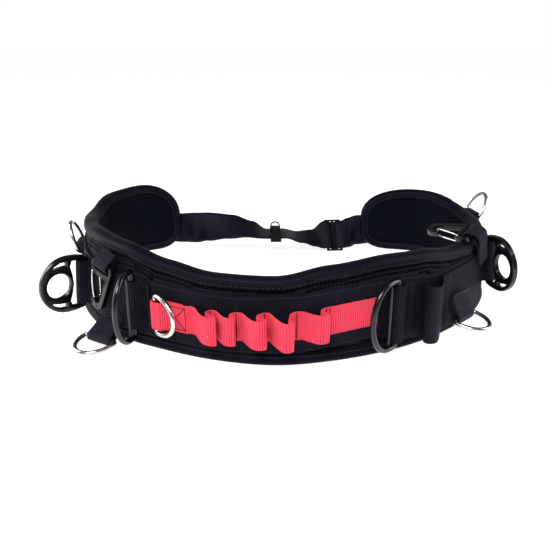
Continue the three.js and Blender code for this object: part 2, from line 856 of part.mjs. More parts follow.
// The tab is drawn in the clip's own place on the belt, and the hook's bar hangs in its fold.
function makeClip(name, { s, n, z, lean, yaw, pitch, barOut, barUp }, tabRows) {
  const place = turnedGroup(station(s, n, z), 0, lean, yaw);
  tabStrip(
    tabRows.map((row) => [row.out, row.up]),
    CLIP_TAB_WIDTH,
    place,
    `${name}_clip_tab`,
  );
  const pitched = turnedGroup(place, pitch, 0, 0);
  pitched.position.set(0, -barOut, barUp);
  const hung = new THREE.Group();
  hung.position.z = CLIP_BAR;
  pitched.add(hung);
  addPiece(`${name}_clip_hook`, clipHookGeometry(), "black_plastic", hung);
  const gate = turnedGroup(hung, 0, -CLIP_GATE.turn, 0);
  gate.position.set(CLIP_GATE.x, 0, CLIP_GATE.z);
  addPiece(`${name}_clip_gate`, clipGateGeometry(), "steel", turnedGroup(gate, 0, 0, 90));
}

// Waist strap with its keeper and its adjuster

function strapFrame(s) {
  const { outward } = beltFrame(s);
  const roll = THREE.MathUtils.degToRad(readTable(STRAP, "roll", s));
  const across = outward
    .clone()
    .multiplyScalar(Math.sin(roll))
    .add(new THREE.Vector3(0, 0, Math.cos(roll)));
  const face = outward
    .clone()
    .multiplyScalar(Math.cos(roll))
    .add(new THREE.Vector3(0, 0, -Math.sin(roll)));
  return { centre: beltPoint(s, readTable(STRAP, "n", s), readTable(STRAP, "z", s)), across, face };
}

// The strap goes inside the adjuster's end bars and outside its middle bar.
function strapWeave(s) {
  const reach = ADJUSTER.slot + ADJUSTER.bar;
  const offset = ADJUSTER.thickness / 2 + GAP + STRAP_THICKNESS / 2;
  const distance = Math.abs(s - ADJUSTER.s);
  const t = THREE.MathUtils.clamp((distance - 1.8) / 4.6, 0, 1);
  const fade = THREE.MathUtils.clamp((distance - reach - 3) / 8, 0, 1);
  return THREE.MathUtils.lerp(THREE.MathUtils.lerp(offset, -offset, t), 0, fade);
}

function makeStrap() {
  const from = STRAP[0].s;
  const to = STRAP[STRAP.length - 1].s;
  const stations = [];
  for (let s = from; s < to; s += STRAP_STEP) stations.push(s);
  stations.push(to);
  const fine = [-12, -8.6, -6.6, -1.7, 1.7, 6.6, 8.6, 12, 19, -19].map((d) => ADJUSTER.s + d);
  const facetEdges = [];
  for (let k = Math.ceil(from / FACET); k * FACET < to; k++) facetEdges.push(k * FACET);
  const all = [...fine, ...facetEdges, ...stations].reduce(
    (kept, s) => (kept.every((other) => Math.abs(other - s) > 1.5) ? [...kept, s] : kept),
    [],
  );
  const rings = all
    .sort((a, b) => a - b)
    .map((s) => {
      const { centre, across, face } = strapFrame(s);
      const middle = centre.addScaledVector(face, strapWeave(s));
      const corner = (a, f) =>
        middle
          .clone()
          .addScaledVector(across, (a * STRAP_WIDTH) / 2)
          .addScaledVector(face, (f * STRAP_THICKNESS) / 2);
      return [corner(-1, -1), corner(1, -1), corner(1, 1), corner(-1, 1)];
    });
  addPiece("waist_strap", loft(rings), "black_webbing");
}

// A group whose x runs along the strap, y across its face and z across its width.
function strapStation(s) {
  const { centre, across, face } = strapFrame(s);
  const group = new THREE.Group();
  const ahead = new THREE.Vector3().crossVectors(across, face).negate().normalize();
  const y = new THREE.Vector3().crossVectors(across, ahead).normalize();
  group.applyMatrix4(new THREE.Matrix4().makeBasis(ahead, y, across.clone().normalize()));
  group.position.copy(centre);
  belt.add(group);
  return group;
}

function makeKeeper() {
  const { s, length, wall, clearance, archRound, archLeg, archWire } = KEEPER;
  const halfIn = STRAP_WIDTH / 2 + clearance;
  const faceIn = STRAP_THICKNESS / 2 + clearance;
  const rectangle = (a, b) =>
    points2([
      [-a, -b],
      [a, -b],
      [a, b],
      [-a, b],
    ]);
  const sleeve = plate(rectangle(faceIn + wall, halfIn + wall), length, [rectangle(faceIn, halfIn)]);
  sleeve.rotateZ(Math.PI / 2);
  const arch = wireLoop(
    [
      ...arc(0, 0, archRound, 0, 180, 10),
      new THREE.Vector2(-archRound, -archLeg),
      new THREE.Vector2(archRound, -archLeg),
    ],
    archWire,
    6,
  );
  arch.translate(0, 0, archLeg);
  arch.rotateX(Math.PI / 2);
  arch.translate(0, -faceIn - wall / 2, halfIn - 3);
  const whole = toSolid(sleeve).add(toSolid(arch));
  addPiece("strap_keeper", toGeometry(whole), "black_plastic", strapStation(s));
}

function makeAdjuster() {
  const { s, length, width, thickness, slot, bar } = ADJUSTER;
  const half = STRAP_WIDTH / 2 + 0.6;
  const outline = points2([
    [-length / 2, -width / 2],
    [length / 2, -width / 2],
    [length / 2, width / 2],
    [-length / 2, width / 2],
  ]);
  const hole = (side) =>
    points2([
      [side * (bar / 2), -half],
      [side * (bar / 2 + slot), -half],
      [side * (bar / 2 + slot), half],
      [side * (bar / 2), half],
    ]);
  const cut = (side) => toSolid(plate(hole(side), thickness * 2));
  const frame = toSolid(plate(outline, thickness)).subtract(cut(-1)).subtract(cut(1));
  addPiece("strap_adjuster", toGeometry(frame), "black_plastic", strapStation(s));
}

makePad();
makeBinding();
makeCarrier();
makeRedWebbing();
makeRedRing();
makeRightWebbing();
makeBigRing("right", RIGHT_BAR, RIGHT_WEB);
makeLeftWebbing();
makeBigRing("left", LEFT_BAR, LEFT_WEB);
SIDE_RINGS.forEach(makeSideRing);
RING_TABS.forEach(makeRingTab);
makeClip("left", LEFT_CLIP, LEFT_CLIP_TAB);
makeClip("right", RIGHT_CLIP, RIGHT_CLIP_TAB);
makeStrap();
makeKeeper();
makeAdjuster();

export default belt;
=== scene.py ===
# %% [markdown]
# # A padded utility belt, dressed over its CAD frame
#
# The belt is a foam panel that goes round the waist, bound along its edge, with webbing sewn on it, and
# rings, clips and a rear strap fixed to the webbing. The CAD model already holds every size. This lesson
# puts cloth, thread, metal and plastic over it, piece by piece.

import math

import bpy
import numpy as np
from mathutils import Matrix, Vector


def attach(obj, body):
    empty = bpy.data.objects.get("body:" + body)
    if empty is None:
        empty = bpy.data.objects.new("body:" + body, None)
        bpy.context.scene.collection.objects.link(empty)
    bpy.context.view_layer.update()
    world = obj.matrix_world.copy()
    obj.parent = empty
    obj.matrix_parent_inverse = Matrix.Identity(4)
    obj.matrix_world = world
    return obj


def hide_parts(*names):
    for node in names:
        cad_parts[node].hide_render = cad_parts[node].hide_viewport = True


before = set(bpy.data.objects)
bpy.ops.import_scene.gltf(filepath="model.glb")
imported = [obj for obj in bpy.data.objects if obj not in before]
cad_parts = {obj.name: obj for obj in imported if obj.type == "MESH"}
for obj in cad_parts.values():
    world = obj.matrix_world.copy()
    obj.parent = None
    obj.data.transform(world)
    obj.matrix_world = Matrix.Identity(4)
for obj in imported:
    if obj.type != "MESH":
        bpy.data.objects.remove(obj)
bpy.ops.object.select_all(action="DESELECT")
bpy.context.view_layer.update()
MM = 0.001
BELT = "belt"

# %% [markdown]
# ## Camera
#
# The photograph looks down at the belt from a little above, and the near webbing is much larger than the
# far strap, so the camera stands close. Its place comes from matching the belt's known widths at the
# front and at the back. It could also be set by eye, but measured values keep every later piece in place.

# %% Camera
BOX_CENTRE = {"x": 9.63, "y": 564.56}
CAMERA = {"height": 250, "pitch": 22, "focal_px": 590, "frame_px": 551, "sensor_mm": 36}

bpy.ops.object.camera_add(
    location=(-BOX_CENTRE["x"] * MM, -BOX_CENTRE["y"] * MM, CAMERA["height"] * MM),
    rotation=(math.radians(90 - CAMERA["pitch"]), 0, 0),
)
camera = bpy.context.object
camera.data.sensor_width = CAMERA["sensor_mm"]
camera.data.lens = CAMERA["sensor_mm"] * CAMERA["focal_px"] / CAMERA["frame_px"]
camera.data.clip_start = 0.02
bpy.context.scene.camera = camera
bpy.context.scene.view_settings.view_transform = "Standard"
print("lens", round(camera.data.lens, 2), "mm")

# %% [markdown]
# ## The belt's own coordinates
#
# Cloth that follows a curved belt is easiest to lay out in the belt's own coordinates: s along the belt
# from the front centre, n outward from its middle surface, and z up. The plan is the same short table as
# in the CAD source, read as one smooth closed curve, so each piece lands where its solid is.

# %% Belt coordinates
PLAN = [
    (0, 426), (46, 433), (92, 449), (136, 474), (178, 512), (207, 560), (216, 612), (210, 662),
    (186, 699), (146, 713), (104, 716), (50, 712), (-5, 706), (-60, 712), (-104, 722), (-140, 716),
    (-172, 697), (-194, 660), (-200, 612), (-193, 562), (-174, 518), (-143, 480), (-96, 453), (-48, 434),
]
LEAN_HEIGHT = 80
LEAN = {
    "s": [-370, -315, -250, -170, -110, -60, 60, 130, 200, 260, 320, 380],
    "lean": [0, -6, -10, -7, -2, 0, 0, -2, -7, -9, -5, 0],
}


def unit(vectors):
    return vectors / np.maximum(np.linalg.norm(vectors, axis=-1, keepdims=True), 1e-12)


def distances(line):
    """How far each point of a line is from its start."""
    return np.concatenate([[0], np.cumsum(np.linalg.norm(np.diff(line, axis=0), axis=1))])


def read_line(where, at, line):
    """Points of a line at distances where, when its own points are at distances at."""
    return np.stack([np.interp(where, at, line[:, k]) for k in range(line.shape[1])], 1)


def smooth_read(table, column, s):
    """Reads a table at places s, easing in and out between its rows."""
    rows = np.array(table["s"], float)
    values = np.array(table[column], float)
    s = np.atleast_1d(np.asarray(s, float))
    i = np.clip(np.searchsorted(rows, s, side="right") - 1, 0, len(rows) - 2)
    t = np.clip((s - rows[i]) / (rows[i + 1] - rows[i]), 0, 1)
    return values[i] + (values[i + 1] - values[i]) * t * t * (3 - 2 * t)


def closed_curve(points, steps=60):
    """A smooth closed curve through the points, as dense points and tangents."""
    p = np.array(points, float)
    t = np.linspace(0, 1, steps, endpoint=False)[:, None]
    places, tangents = [], []
    for i in range(len(p)):
        a, b, c, d = (p[(i + k) % len(p)] for k in (-1, 0, 1, 2))
        m0, m1 = (c - a) / 2, (d - b) / 2
        places.append(
            b * (2 * t**3 - 3 * t**2 + 1) + m0 * (t**3 - 2 * t**2 + t)
            + c * (3 * t**2 - 2 * t**3) + m1 * (t**3 - t**2)
        )
        tangents.append(
            b * (6 * t**2 - 6 * t) + m0 * (3 * t**2 - 4 * t + 1)
            + c * (6 * t - 6 * t**2) + m1 * (3 * t**2 - 2 * t)
        )
    return np.concatenate(places), np.concatenate(tangents)


plan_points, plan_tangents = closed_curve(
    [(x - BOX_CENTRE["x"], y - BOX_CENTRE["y"]) for x, y in PLAN]
)
plan_points, plan_tangents = (np.concatenate([v, v[:1]]) for v in (plan_points, unit(plan_tangents)))
plan_s = distances(plan_points)
LOOP = float(plan_s[-1])


def belt_frame(s):
    """Points of the middle surface at z = 0, outward directions and lean, at places s."""
    s = np.atleast_1d(np.asarray(s, float))
    turn = s % LOOP
    point = read_line(turn, plan_s, plan_points)
    tangent = unit(read_line(turn, plan_s, plan_tangents))
    outward = np.stack([tangent[:, 1], -tangent[:, 0]], 1)
    signed = np.where(turn > LOOP / 2, turn - LOOP, turn)
    return point, outward, smooth_read(LEAN, "lean", signed) / LEAN_HEIGHT


def on_belt(s, n, z):
    """Points in metres for belt coordinates in millimetres."""
    s, n, z = np.broadcast_arrays(*(np.asarray(v, float) for v in (s, n, z)))
    point, outward, lean = belt_frame(s.ravel())
    flat = point + outward * (n.ravel() + lean * z.ravel())[:, None]
    return (np.column_stack([flat, z.ravel()]) * MM).reshape(s.shape + (3,))


print("round the belt", round(LOOP), "mm")

# %% [markdown]
# ## Floor and light
#
# The belt stands on a pale, plain table. The room is brightest just above the table and dims upward, and
# the table itself glows faintly, so that it stays white up to the far edge of the picture. One wide lamp
# hangs above the front and one stands at each side. A single strong lamp would light the belt as well, but
# black cloth shows its ribs best in wide light that grazes it.

# %% Floor and light
ROOM_FADE = {"From Min": 0.1, "From Max": 0.26, "To Min": 1.0, "To Max": 0.16}
BELT_MIDDLE = (0, 0, 0.04)

world = bpy.data.worlds.new("soft room")
bpy.context.scene.world = world
world.use_nodes = True
sky = world.node_tree
sky.nodes["Background"].inputs["Color"].default_value = (1, 1, 1, 1)
direction = sky.nodes.new("ShaderNodeTexCoord")
height_part = sky.nodes.new("ShaderNodeSeparateXYZ")
fade = sky.nodes.new("ShaderNodeMapRange")
for label, value in ROOM_FADE.items():
    fade.inputs[label].default_value = value
sky.links.new(direction.outputs["Generated"], height_part.inputs[0])
sky.links.new(height_part.outputs["Z"], fade.inputs["Value"])
sky.links.new(fade.outputs["Result"], sky.nodes["Background"].inputs["Strength"])


def new_material(name, **values):
    """A material, its node tree and its shader, with the named inputs set."""
    material = bpy.data.materials.new(name)
    material.use_nodes = True
    shader = material.node_tree.nodes["Principled BSDF"]
    for label, value in values.items():
        shader.inputs[label.replace("_", " ")].default_value = value
    return material, material.node_tree, shader


def face_towards(thing, target, axis):
    way = Vector(target) - Vector(thing.location)
    thing.rotation_euler = way.to_track_quat(axis, "Y").to_euler()


def add_plane(name, size, location, finish):
    bpy.ops.mesh.primitive_plane_add(size=size, location=location)
    plane = bpy.context.object
    plane.name = name
    plane.data.materials.append(finish)
    return plane


table_finish = new_material(
    "pale table", Base_Color=(0.6, 0.6, 0.6, 1), Roughness=0.6,
    Emission_Color=(1, 1, 1, 1), Emission_Strength=0.85,
)[0]
floor = add_plane("floor", 24, (0, 0, 0), table_finish)

LAMPS = [
    ("lamp above the front", (-0.25, -0.75, 0.9), (0, -0.05, 0.04), (0.6, 0.35), 14),
    ("lamp at the left", (-1.0, 0.1, 0.5), BELT_MIDDLE, (0.5, 0.8), 8),
    ("lamp at the right", (1.0, -0.1, 0.5), BELT_MIDDLE, (0.5, 0.8), 7),
]
for name, place, target, size, power in LAMPS:
    bpy.ops.object.light_add(type="AREA", location=place)
    lamp = bpy.context.object
    lamp.name = name
    lamp.data.shape = "RECTANGLE"
    lamp.data.size, lamp.data.size_y = size
    lamp.data.energy = power
    face_towards(lamp, target, "-Z")

# Dark cards beside the camera give the bright rings something dark to reflect.
card_finish = new_material("dark card", Base_Color=(0.01, 0.01, 0.01, 1))[0]
for side, x in (("left", -0.75), ("right", 0.75)):
    card = add_plane(f"dark card {side}", 1, (x, -0.75, 0.3), card_finish)
    card.scale = (0.5, 0.7, 1)
    face_towards(card, BELT_MIDDLE, "Z")
    card.visible_camera = False

# %% [markdown]
# ## Shared surface effects
#
# Several finishes share the same small effects, so each effect is one node group: ribs of webbing, a
# plain woven grain, and a soft mottling of colour. Each group has named inputs, and each material sets
# its own scale. The patterns on cloth read the piece's UV map, which is laid out in metres, so the ribs
# follow the cloth round every fold.

# %% Node group helpers


def new_group(name, inputs, outputs):
    group = bpy.data.node_groups.new(name, "ShaderNodeTree")
    for label, kind, value in inputs:
        socket = group.interface.new_socket(name=label, in_out="INPUT", socket_type=kind)
        if value is not None:
            socket.default_value = value
    for label, kind in outputs:
        group.interface.new_socket(name=label, in_out="OUTPUT", socket_type=kind)
    return group, group.nodes.new("NodeGroupInput"), group.nodes.new("NodeGroupOutput")


def feed(tree, socket, value):
    """Gives a socket a number, or links another socket to it."""
    if isinstance(value, (int, float)):
        socket.default_value = value
    elif value is not None:
        tree.links.new(value, socket)


def calc(tree, kind, a, b=None):
    """A Math node. Inputs are numbers or sockets."""
    node = tree.nodes.new("ShaderNodeMath")
    node.operation = kind
    for socket, value in zip(node.inputs, (a, b)):
        feed(tree, socket, value)
    return node.outputs[0]


def add(tree, a, b):
    return calc(tree, "ADD", a, b)


def mul(tree, a, b):
    return calc(tree, "MULTIPLY", a, b)


def bumps(tree, turns):
    """A row of round bumps, one to each whole turn."""
    return calc(tree, "ABSOLUTE", calc(tree, "SINE", mul(tree, turns, math.pi)))


def noise(tree, vector, scale, detail=3.0, rough=0.5):
    node = tree.nodes.new("ShaderNodeTexNoise")
    node.inputs["Detail"].default_value = detail
    node.inputs["Roughness"].default_value = rough
    feed(tree, node.inputs["Vector"], vector)
    feed(tree, node.inputs["Scale"], scale)
    return node.outputs["Fac"]


def split(tree, vector):
    node = tree.nodes.new("ShaderNodeSeparateXYZ")
    tree.links.new(vector, node.inputs[0])
    return node.outputs


FLOAT, VECTOR = "NodeSocketFloat", "NodeSocketVector"

# %% Group: webbing ribs
rib_group, start, end = new_group(
    "Webbing ribs",
    [
        ("Place", VECTOR, None), ("Rib pitch", FLOAT, 0.0016), ("Yarn pitch", FLOAT, 0.0007),
        ("Rib depth", FLOAT, 1.0),
    ],
    [("Height", FLOAT), ("Shade", FLOAT)],
)
t, place = rib_group, start.outputs["Place"]
u, v, _ = split(t, place)
along = calc(t, "DIVIDE", u, start.outputs["Rib pitch"])
across = calc(t, "DIVIDE", v, start.outputs["Yarn pitch"])
wobble = mul(t, noise(t, place, 260.0, 2.0), 0.5)
ribs = bumps(t, add(t, along, wobble))
yarn = bumps(t, add(t, across, mul(t, calc(t, "FLOOR", along), 0.5)))
height = add(t, mul(t, calc(t, "POWER", ribs, 0.6), start.outputs["Rib depth"]), mul(t, yarn, 0.28))
fuzz = mul(t, noise(t, place, 1500.0, 2.0), 0.35)
t.links.new(add(t, height, fuzz), end.inputs["Height"])
# The shade is painted into the cloth's colour: painted shade in the valleys between ribs and yarns, and
# lighter colour on their tops.
shade = add(t, calc(t, "POWER", ribs, 0.5), mul(t, yarn, 0.35))
t.links.new(mul(t, shade, 0.75), end.inputs["Shade"])

# %% Group: plain weave
weave_group, start, end = new_group(
    "Plain weave",
    [("Place", VECTOR, None), ("Yarn pitch", FLOAT, 0.0006), ("Slubs", FLOAT, 0.4)],
    [("Height", FLOAT), ("Shade", FLOAT)],
)
t, place = weave_group, start.outputs["Place"]
u, v, _ = split(t, place)
warp, weft = (bumps(t, calc(t, "DIVIDE", way, start.outputs["Yarn pitch"])) for way in (u, v))
thread = mul(t, warp, weft)
slub = noise(t, place, 420.0, 4.0, 0.6)
t.links.new(add(t, thread, mul(t, slub, start.outputs["Slubs"])), end.inputs["Height"])
# This shade is painted into the cloth's colour too: painted shade between the yarns.
t.links.new(add(t, mul(t, thread, 0.5), mul(t, slub, 0.6)), end.inputs["Shade"])

# %% Group: mottle
mottle_group, start, end = new_group(
    "Mottle",
    [("Place", VECTOR, None), ("Scale", FLOAT, 30.0), ("Low", FLOAT, 0.8), ("High", FLOAT, 1.2)],
    [("Factor", FLOAT)],
)
t = mottle_group
cloud = noise(t, start.outputs["Place"], start.outputs["Scale"], 5.0, 0.6)
spread = t.nodes.new("ShaderNodeMapRange")
spread.inputs["From Min"].default_value = 0.3
spread.inputs["From Max"].default_value = 0.7
t.links.new(cloud, spread.inputs["Value"])
t.links.new(start.outputs["Low"], spread.inputs["To Min"])
t.links.new(start.outputs["High"], spread.inputs["To Max"])
t.links.new(spread.outputs["Result"], end.inputs["Factor"])
print("node groups", [g.name for g in bpy.data.node_groups])

# %% [markdown]
# ## Cloth finishes
#
# The shell and the webbing are black nylon, which is never a flat black: it has a slight cold tint, light
# catches each rib, and handling leaves cloudy lighter patches. Each weave is also painted darker in its
# valleys and lighter on its tops, a painted shade and a painted highlight over its bumps. The red webbing
# has the same weave dyed red.


# %% Cloth materials
COLD_TINT = (0.72, 0.76, 1, 1)
CLOUDS = {"cloth": 22.0, "wear": 90.0, "tone": 40.0}


def coordinates(tree, kind):
    return tree.nodes.new("ShaderNodeTexCoord").outputs[kind]


def use_group(tree, group, place, **values):
    node = tree.nodes.new("ShaderNodeGroup")
    node.node_tree = group
    tree.links.new(place, node.inputs["Place"])
    for label, value in values.items():
        node.inputs[label.replace("_", " ")].default_value = value
    return node


def paint(tree, shader, colour, factor):
    """Base colour times a factor. The colour is three numbers or a socket."""
    tint = tree.nodes.new("ShaderNodeVectorMath")
    tint.operation = "SCALE"
    if isinstance(colour, tuple):
        tint.inputs[0].default_value = colour
    else:
        tree.links.new(colour, tint.inputs[0])
    tree.links.new(factor, tint.inputs["Scale"])
    tree.links.new(tint.outputs[0], shader.inputs["Base Color"])


def emboss(tree, shader, height, strength, distance):
    relief = tree.nodes.new("ShaderNodeBump")
    relief.inputs["Strength"].default_value = strength
    relief.inputs["Distance"].default_value = distance
    tree.links.new(height, relief.inputs["Height"])
    tree.links.new(relief.outputs["Normal"], shader.inputs["Normal"])


def ribbed(pitch, yarn, depth=1.0):
    return rib_group, {"Rib_pitch": pitch, "Yarn_pitch": yarn, "Rib_depth": depth}


def woven(yarn, slubs):
    return weave_group, {"Yarn_pitch": yarn, "Slubs": slubs}


def cloth_material(name, dark, light, weave, bump, roughness, shine=0.12, sheen=0.0, mottle=(0.8, 1.25)):
    """Cloth whose colour goes from dark in the valleys of the weave to light on its tops: painted shade in
    the valleys and a painted highlight on the tops.
    """
    material, tree, shader = new_material(
        name, Roughness=roughness, Sheen_Weight=sheen, Sheen_Roughness=0.45,
        Specular_IOR_Level=shine, Specular_Tint=COLD_TINT,
    )
    group, values = weave
    pattern = use_group(tree, group, coordinates(tree, "UV"), **values)
    cloud = use_group(
        tree, mottle_group, coordinates(tree, "Object"), Scale=CLOUDS["cloth"], Low=mottle[0], High=mottle[1]
    )
    ramp = tree.nodes.new("ShaderNodeMix")
    ramp.data_type = "RGBA"
    ramp.inputs["A"].default_value = (*dark, 1)
    ramp.inputs["B"].default_value = (*light, 1)
    tree.links.new(pattern.outputs["Shade"], ramp.inputs["Factor"])
    paint(tree, shader, ramp.outputs["Result"], cloud.outputs["Factor"])
    emboss(tree, shader, pattern.outputs["Height"], *bump)
    return material


# The colour deep in the valleys of the black webbing's ribs, a painted shade.
PAINTED_VALLEY_SHADE = (0.0002, 0.0002, 0.0006)
CLOTH_LOOKS = {
    "shell": (
        "woven nylon shell", (0.0006, 0.0006, 0.0014), (0.007, 0.0067, 0.0125),
        woven(0.00085, 0.5), (0.5, 0.0004), 0.7,
    ),
    # The shell deep in a channel is a darker copy of the shell: painted shade in the quilted grooves.
    "channel": (
        "shell deep in a channel", (0.0003, 0.0003, 0.0007), (0.0016, 0.0016, 0.0032),
        woven(0.00085, 0.5), (0.5, 0.0004), 0.8, 0.0,
    ),
    "lining": (
        "smooth lining", (0.0004, 0.0006, 0.0018), (0.0014, 0.0017, 0.0048),
        woven(0.0005, 0.3), (0.3, 0.0002), 0.6, 0.06,
    ),
    "binding": (
        "folded binding tape", (0.0004, 0.0004, 0.0012), (0.0022, 0.0021, 0.0056),
        ribbed(0.0008, 0.0005, 0.5), (0.35, 0.0002), 0.55, 0.1,
    ),
    "webbing": (
        "black ribbed webbing", PAINTED_VALLEY_SHADE, (0.0094, 0.0091, 0.0162),
        ribbed(0.0019, 0.0008), (1.0, 0.001), 0.55, 0.07,
    ),
    "strap": (
        "smooth black strap", (0.0003, 0.0003, 0.0009), (0.0034, 0.0033, 0.0075),
        ribbed(0.0012, 0.0006, 0.6), (0.6, 0.0004), 0.42, 0.14,
    ),
    # The tab webbing has coarser ribs than the other webbing, and its rib tops are painted lighter, a painted
    # highlight.
    "tab": (
        "black tab webbing", PAINTED_VALLEY_SHADE, (0.013, 0.0128, 0.022), ribbed(0.0024, 0.0009), (1.0, 0.0012), 0.5,
    ),
    "red": (
        "red ribbed webbing", (0.34, 0.009, 0.026), (0.98, 0.06, 0.112),
        ribbed(0.0019, 0.0008), (1.0, 0.0008), 0.7, 0.12, 0.05, (0.94, 1.05),
    ),
}
CLOTH = {key: cloth_material(*look) for key, look in CLOTH_LOOKS.items()}
print("cloth", [material.name for material in CLOTH.values()])

# %% [markdown]
# ## Hard finishes
#
# The small rings and the gates are polished nickel with hairline scratches, and the thin bars of the large
# rings are blackened steel. The clips, the large rings and the side rings are moulded in satin black
# plastic with a fine grain. The keeper and the adjuster on the strap are a duller plastic.


# %% Hard materials
def hard_material(name, colour, roughness, grain, scratch, shine=0.25, metallic=0.0):
    """Metal, plastic or thread. Grain is the scale and depth of its pits, and scratches run along Z."""
    material, tree, shader = new_material(name, Metallic=metallic, Specular_IOR_Level=shine)
    place = coordinates(tree, "Object")
    wear = use_group(tree, mottle_group, place, Scale=CLOUDS["wear"], Low=roughness[0], High=roughness[1])
    tree.links.new(wear.outputs["Factor"], shader.inputs["Roughness"])
    tone = use_group(tree, mottle_group, place, Scale=CLOUDS["tone"], Low=0.85, High=1.12)
    paint(tree, shader, colour, tone.outputs["Factor"])
    pits = noise(tree, place, grain[0], 2.0)
    stretch = tree.nodes.new("ShaderNodeMapping")
    stretch.inputs["Scale"].default_value = (1, 1, 14)
    tree.links.new(place, stretch.inputs["Vector"])
    lines = noise(tree, stretch.outputs["Vector"], 220.0, 5.0, 0.75)
    emboss(tree, shader, add(tree, mul(tree, pits, grain[1]), mul(tree, lines, scratch)), 0.35, 0.0002)
    return material


HARD_LOOKS = {
    "steel": ("polished nickel", (0.6, 0.575, 0.545), (0.2, 0.26), (900.0, 0.01), 0.01, 0.25, 1.0),
    "dark steel": ("blackened steel rod", (0.004, 0.004, 0.006), (0.24, 0.34), (900.0, 0.05), 0.05, 0.5),
    "plastic": ("satin black plastic", (0.003, 0.003, 0.0045), (0.16, 0.26), (2400.0, 0.2), 0.05, 0.4),
    "dull plastic": ("dull black plastic", (0.002, 0.002, 0.003), (0.42, 0.5), (2400.0, 0.2), 0.05, 0.12),
}
THREADS = {
    "thread": ("black thread", (0.012, 0.012, 0.017)),
    # The deep thread is a darker copy of the black thread: painted shade for the stitches sunk in the
    # channels. The loop tacks use it as well.
    "deep thread": ("thread in the channels", (0.003, 0.003, 0.005)),
    "red thread": ("dark red thread", (0.014, 0.0015, 0.003)),
}
for key, look in THREADS.items():
    HARD_LOOKS[key] = (*look, (0.5, 0.7), (3000.0, 0.8), 0.2)
HARD = {key: hard_material(*look) for key, look in HARD_LOOKS.items()}
print("hard", [material.name for material in HARD.values()])

# %% [markdown]
# ## Cloth in mesh code
#
# A strip of webbing is a grid of points: rows along its length and columns across its width. Half its
# thickness goes to each side, so the strip is a closed skin with real edges. Its UV map counts metres
# along and across, which is what the weave patterns read. A Solidify modifier would do the same, but a
# thickness of our own can thin towards the woven edge, as real webbing does.


# %% Strip helpers
LAYER = {"web": 1.2, "gap": 0.3, "pad": 9.0}


def new_mesh_object(name, points, faces, uvs=None):
    mesh = bpy.data.meshes.new(name)
    mesh.from_pydata([tuple(p) for p in points], [], [tuple(f) for f in faces])
    if uvs is not None:
        layer = mesh.uv_layers.new(name="metres")
        index = np.zeros(len(mesh.loops), int)
        mesh.loops.foreach_get("vertex_index", index)
        layer.data.foreach_set("uv", np.asarray(uvs, np.float32)[index].ravel())
    mesh.shade_smooth()
    piece = bpy.data.objects.new(name, mesh)
    bpy.context.collection.objects.link(piece)
    return piece


def grid_normals(grid):
    return unit(np.cross(np.gradient(grid, axis=0), np.gradient(grid, axis=1)))


def grid_lengths(grid, axis):
    steps = np.linalg.norm(np.diff(grid, axis=axis), axis=2)
    zero = np.zeros_like(np.take(steps, [0], axis))
    return np.cumsum(np.concatenate([zero, steps], axis), axis)


WOVEN_EDGE = {"thin": 0.55, "power": 8}


def two_sided(rows, columns, place):
    """Faces of a grid's two sides by turns. The function place gives the number of a point."""
    faces = []
    for i in range(rows - 1):
        for j in range(columns - 1):
            corners = [(i, j), (i + 1, j), (i + 1, j + 1), (i, j + 1)]
            faces.append([place(*p, 0) for p in corners])
            faces.append([place(*p, 1) for p in corners[::-1]])
    return faces


def strip(name, grid, thickness):
    """A closed strip of cloth round a grid of middle points in metres."""
    rows, columns = grid.shape[:2]
    normal = grid_normals(grid)
    edge = np.abs(np.linspace(-1, 1, columns)) ** WOVEN_EDGE["power"]
    half = thickness / 2 * (1 - (1 - WOVEN_EDGE["thin"]) * edge)[None, :, None]
    sides = np.concatenate([(grid + normal * half).reshape(-1, 3), (grid - normal * half).reshape(-1, 3)])
    place = lambda i, j, side: side * rows * columns + i * columns + j
    faces = two_sided(rows, columns, place)
    rim = [(i, 0) for i in range(rows)] + [(rows - 1, j) for j in range(1, columns)]
    rim += [(i, columns - 1) for i in range(rows - 2, -1, -1)]
    rim += [(0, j) for j in range(columns - 2, 0, -1)]
    for p, q in zip(rim, rim[1:] + rim[:1]):
        faces.append([place(*q, 0), place(*p, 0), place(*p, 1), place(*q, 1)])
    along = grid_lengths(grid, 0)[:, columns // 2]
    across = grid_lengths(grid, 1)[rows // 2]
    flat = np.stack(np.meshgrid(along, across, indexing="ij"), 2).reshape(-1, 2)
    piece = new_mesh_object(name, sides, faces, np.concatenate([flat, flat]))
    return piece, (float(across[-1]), float(along[-1]))


def finish_sheet(piece, flat, material, stands_for):
    """Dresses a sheet: its finish, the body it rides on, the solid it stands for and its cut size."""
    piece.data.materials.append(material)
    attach(piece, BELT)
    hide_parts(stands_for)
    print(piece.name, "cut", [round(v * 1000) for v in flat], "mm, faces", len(piece.data.polygons))


def sew(name, grid, finish, stands_for, thickness=LAYER["web"]):
    """Makes a strip of cloth, its thickness in millimetres, and dresses it."""
    piece, flat = strip(name, grid, thickness * MM)
    finish_sheet(piece, flat, CLOTH[finish], stands_for)


def make_active(piece):
    bpy.ops.object.select_all(action="DESELECT")
    piece.select_set(True)
    bpy.context.view_layer.objects.active = piece


def soft_noise(places, scale):
    """Smooth waviness from a few crossed sines, between about -1 and 1."""
    p = np.asarray(places, float) / scale
    total = np.zeros(p.shape[:-1])
    for k, (a, b, c) in enumerate([(1.0, 0.7, 1.3), (-0.8, 1.4, 0.6), (1.7, -1.1, 0.9)]):
        total += np.sin(p[..., 0] * a + p[..., 1] * b + p[..., 2] * c + 1.9 * k)
    return total / 3


